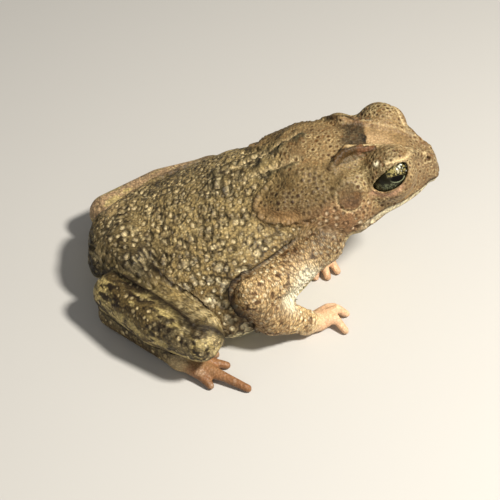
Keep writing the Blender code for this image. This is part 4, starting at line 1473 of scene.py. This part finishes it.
def connect(tree, node, inputs):
    """Sets each input to its value, or links it where the value is another node's output."""
    for name, value in inputs.items():
        if isinstance(value, bpy.types.NodeSocket):
            tree.links.new(value, node.inputs[name])
        else:
            node.inputs[name].default_value = value


def add_node(tree, kind, output, inputs, **settings):
    """A new shader node's output."""
    node = tree.nodes.new("ShaderNode" + kind)
    for name, value in settings.items():
        setattr(node, name, value)
    connect(tree, node, inputs)
    return node.outputs[output]


def attribute(tree, name, output="Fac"):
    return add_node(tree, "Attribute", output, {}, attribute_name=name)


def spread_over(tree, value, low, high, to_low, to_high):
    """Maps a texture's value from one range to another."""
    ends = {"From Min": low, "From Max": high, "To Min": to_low, "To Max": to_high}
    return add_node(tree, "MapRange", "Result", {"Value": value, **ends})


def new_material(name):
    """A material with its tree of nodes and its shader."""
    made = bpy.data.materials.new(name)
    made.use_nodes = True
    return made, made.node_tree, made.node_tree.nodes["Principled BSDF"]


def skin_material():
    """Skin in its painted colour, finely grained, with a soft damp sheen."""
    made, tree, shader = new_material("toad_skin")
    at = {"Vector": attribute(tree, "grain", "Vector")}
    cells = {**at, "Scale": 1.9, "Randomness": 0.95}
    cells = add_node(tree, "TexVoronoi", "Distance", cells)
    specks = {**at, "Scale": 3.4, "Detail": 5.0, "Roughness": 0.6}
    specks = add_node(tree, "TexNoise", "Fac", specks)

    cell_tone = {
        "Factor": attribute(tree, "cells"),
        "A": 1.0,
        "B": spread_over(tree, cells, 0.08, 0.72, 1.4, 0.3),
    }
    tone = {
        0: add_node(tree, "Mix", "Result", cell_tone),
        1: spread_over(tree, specks, 0.3, 0.7, 0.7, 1.3),
    }
    tint = {
        0: attribute(tree, "tint", "Color"),
        "Scale": add_node(tree, "Math", "Value", tone, operation="MULTIPLY"),
    }
    grains = {"Strength": 0.6, "Distance": 0.0002, "Height": cells}
    grains = add_node(tree, "Bump", "Normal", grains, invert=True)
    pits = {"Strength": 0.35, "Distance": 0.0001, "Height": specks, "Normal": grains}
    connect(tree, shader, {
        "Base Color": add_node(tree, "VectorMath", "Vector", tint, operation="SCALE"),
        "Normal": add_node(tree, "Bump", "Normal", pits),
        "Roughness": spread_over(tree, attribute(tree, "gloss"), 0.0, 1.0, 0.74, 0.34),
        "Specular IOR Level": 0.3,
        "Subsurface Weight": 0.05,
        "Subsurface Radius": (0.0009, 0.0004, 0.0002),
    })
    return made


def make_skin():
    grid = Grid(GRID_LOW, GRID_HIGH, STEP)
    field, parts = body_fields(grid)
    obj = mesh_skin(grid, field)
    hide = Hide(obj, grid, parts)
    steps = (paint_body, deepen_creases, paint_back_marks, grow_body_warts, grow_limb_warts,
             paint_limb_marks, paint_head, grow_head_spots, grow_gland_pores)
    for step in steps:
        step(hide)
    # Painted shade in all the creases, nearly black
    hide.paint(DARK, hide.crease * 0.97)
    hide.write()
    obj.data.materials.append(skin_material())
    obj.data.shade_smooth()
    flesh = [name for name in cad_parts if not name.startswith("eye_")]
    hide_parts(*flesh)
    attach(obj, "root")


# Rings and spokes of an eyeball, how much closer together the rings are in front, and how far
# round to the back they go
EYE_RINGS = 150
EYE_SPOKES = 240
EYE_CROWDING = 1.15
EYE_REACH = math.radians(150.0)

# The pupil in the eye's own frame, how flat its upper edge is, and the eye's colours
PUPIL_MIDDLE = (0.58, 0.40)
PUPIL_RADII = (1.25, 0.66)
PUPIL_TILT = math.radians(-8.0)
PUPIL_FLATNESS = 0.72
IRIS_GOLD = (146, 134, 84)
IRIS_PALE_AND_HIGHLIGHT = (240, 242, 226)
IRIS_DARK = (26, 24, 12)
IRIS_GREEN = (116, 120, 90)
CRESCENT = (150, 156, 124)
PUPIL_AND_SHADE_BLACK = (8, 7, 5)


def make_eye(side):
    """An eyeball with a level pupil in a gold-flecked iris, painted point by point."""
    polar = np.linspace(0.0, 1.0, EYE_RINGS) ** EYE_CROWDING * EYE_REACH
    round_ = np.arange(EYE_SPOKES) * (2.0 * math.pi / EYE_SPOKES)
    theta, phi = np.meshgrid(polar[1:], round_, indexing="ij")
    wide = np.sin(theta)
    local = np.stack([wide * np.cos(phi), wide * np.sin(phi), np.cos(theta)], axis=-1)
    local = np.concatenate([[[0.0, 0.0, 1.0]], local.reshape(-1, 3)]) * EYE_RADIUS
    places = local @ eye_axes(side) + eye_centre(side)
    pairs = [(a, (a + 1) % EYE_SPOKES) for a in range(EYE_SPOKES)]
    faces = [(0, 1 + a, 1 + b) for a, b in pairs]
    for near in range(1, 1 + (EYE_RINGS - 2) * EYE_SPOKES, EYE_SPOKES):
        far = near + EYE_SPOKES
        faces += [(near + a, far + a, far + b, near + b) for a, b in pairs]
    if side > 0:
        faces = [face[::-1] for face in faces]
    name = "eyeball_left" if side > 0 else "eyeball_right"
    mesh = bpy.data.meshes.new(name)
    mesh.from_pydata(((places - vector(ORIGIN)) * METRES).tolist(), [], faces)
    mesh.shade_smooth()
    store(mesh, "tint", np.insert(iris_colour(local), 3, 1.0, axis=1))
    mesh.materials.append(eye_material(name))
    obj = add_object(name, mesh)
    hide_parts("eye_left" if side > 0 else "eye_right")
    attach(obj, "root")


def iris_colour(local):
    """Gold net above the pupil with pale flecks and a painted highlight towards the front,
    grey-green net below and behind, painted shade along the edge of the lids' opening, and a black
    pupil with a pale rim.
    """
    x, y, _ = local.T
    along, up = turned(x - PUPIL_MIDDLE[0], y - PUPIL_MIDDLE[1], PUPIL_TILT)
    gap = oval(*turned(x - OPENING_MIDDLE[0], y - OPENING_MIDDLE[1], OPENING_SLANT), OPENING_RADII)
    out = oval(along, up, PUPIL_RADII)
    flat = np.where(up > 0, np.maximum(out, up / (PUPIL_RADII[1] * PUPIL_FLATNESS)), out)
    net = two_noises(local, 0.5, 0.24, 21, 0.6)
    veins = 1.0 - rise(np.abs(net), 0.08, 0.55)
    above = rise(up, 0.1, 0.7) * rise(along, -2.3, -1.2) * rise(along, 4.6, 3.6)
    # Pale flecks and a painted highlight above the pupil, towards the front
    pale_and_highlight = above * rise(along, 0.0, 1.6) * rise(net, -0.1, 0.5)
    below = rise(up, -0.6, -1.2) * (1.0 - 0.95 * veins) * rise(along, 1.2, -0.6)
    rim = bell(out, 0.11, 1.2) * rise(up, 0.1, -0.2) * rise(along, -1.6, -0.6)
    colour = np.tile(linear(IRIS_DARK), (len(local), 1))
    for tone, amount in (
        (IRIS_GOLD, above * (1.0 - veins) * 0.95),
        (IRIS_PALE_AND_HIGHLIGHT, pale_and_highlight * (1.0 - veins) * 0.9),
        (IRIS_GREEN, below * 0.8),
        (CRESCENT, rim * 0.8),
        # Painted shade round the edge of the lids' opening
        (PUPIL_AND_SHADE_BLACK, rise(gap, 0.94, 1.04) * 0.6),
        (PUPIL_AND_SHADE_BLACK, rise(flat, 1.06, 0.94)),
    ):
        colour = mixed(colour, linear(tone), amount)
    return colour


def eye_material(name):
    """A moist eye in its painted colour."""
    made, tree, shader = new_material(name)
    connect(tree, shader, {
        "Base Color": attribute(tree, "tint", "Color"),
        "Roughness": 0.35,
        "Specular IOR Level": 0.12,
        "Coat Weight": 0.2,
        "Coat Roughness": 0.02,
    })
    return made


# The stage, in metres: half the floor's width, its colour, each lamp with its place, size, power
# and colour, what the lamps point at, and the light from all round
FLOOR_REACH = 3.0
FLOOR_LOOK = {"Base Color": (0.56, 0.55, 0.53, 1.0), "Roughness": 0.8}
LAMPS = {
    "key": ((0.20, -0.13, 0.33), 0.06, 2.5, (1.0, 0.95, 0.86)),
    "fill": ((-0.10, -0.50, 0.30), 0.40, 0.4, (1.0, 0.97, 0.92)),
}
LAMP_TARGET = (0.0, 0.0, 0.012)
SKY = {"Color": (1.0, 0.98, 0.94, 1.0), "Strength": 0.2}


def make_floor():
    mesh = bpy.data.meshes.new("floor")
    ways = ((-1, -1), (1, -1), (1, 1), (-1, 1))
    corners = [(x * FLOOR_REACH, y * FLOOR_REACH, 0) for x, y in ways]
    mesh.from_pydata(corners, [], [(0, 1, 2, 3)])
    floor = add_object("floor", mesh)
    made, tree, shader = new_material("pale_floor")
    connect(tree, shader, FLOOR_LOOK)
    mesh.materials.append(made)


def aim(obj, place, direction):
    obj.location = place
    obj.rotation_mode = "QUATERNION"
    obj.rotation_quaternion = Vector(direction).to_track_quat("-Z", "Y")


def light_scene():
    """A small warm lamp above and to the front right, a broad faint one on the right, and faint
    light from all round."""
    for name, (place, size, power, colour) in LAMPS.items():
        light = bpy.data.lights.new(name, "AREA")
        light.shape, light.size, light.energy, light.color = "DISK", size, power, colour
        aim(add_object(name, light), place, Vector(LAMP_TARGET) - Vector(place))
    world = bpy.data.worlds.new("studio")
    world.use_nodes = True
    connect(world.node_tree, world.node_tree.nodes["Background"], SKY)
    bpy.context.scene.world = world
    bpy.context.scene.view_settings.view_transform = "Standard"


def place_camera():
    """The photographer's view, turned so that the toad lies where it does in the photograph."""
    a, e = VIEW_HEADING, VIEW_RISE
    back = vector(math.sin(a) * math.cos(e), -math.cos(a) * math.cos(e), math.sin(e))
    right = vector(math.cos(a), math.sin(a), 0.0)
    up = np.cross(back, right)
    focus = PHOTO_SCALE * VIEW_DISTANCE
    ahead = -back - right * PHOTO_CENTRE[0] / focus - up * PHOTO_CENTRE[1] / focus
    camera = bpy.data.cameras.new("camera")
    camera.sensor_width = FILM_WIDTH
    camera.lens = focus / PHOTO_WIDTH * FILM_WIDTH
    camera.clip_start = 0.01
    obj = add_object("camera", camera)
    aim(obj, (vector(VIEW_CENTRE) - vector(ORIGIN) + back * VIEW_DISTANCE) * METRES, ahead)
    bpy.context.scene.camera = obj


make_skin()
for eye_side in (-1, 1):
    make_eye(eye_side)
make_floor()
light_scene()
place_camera()
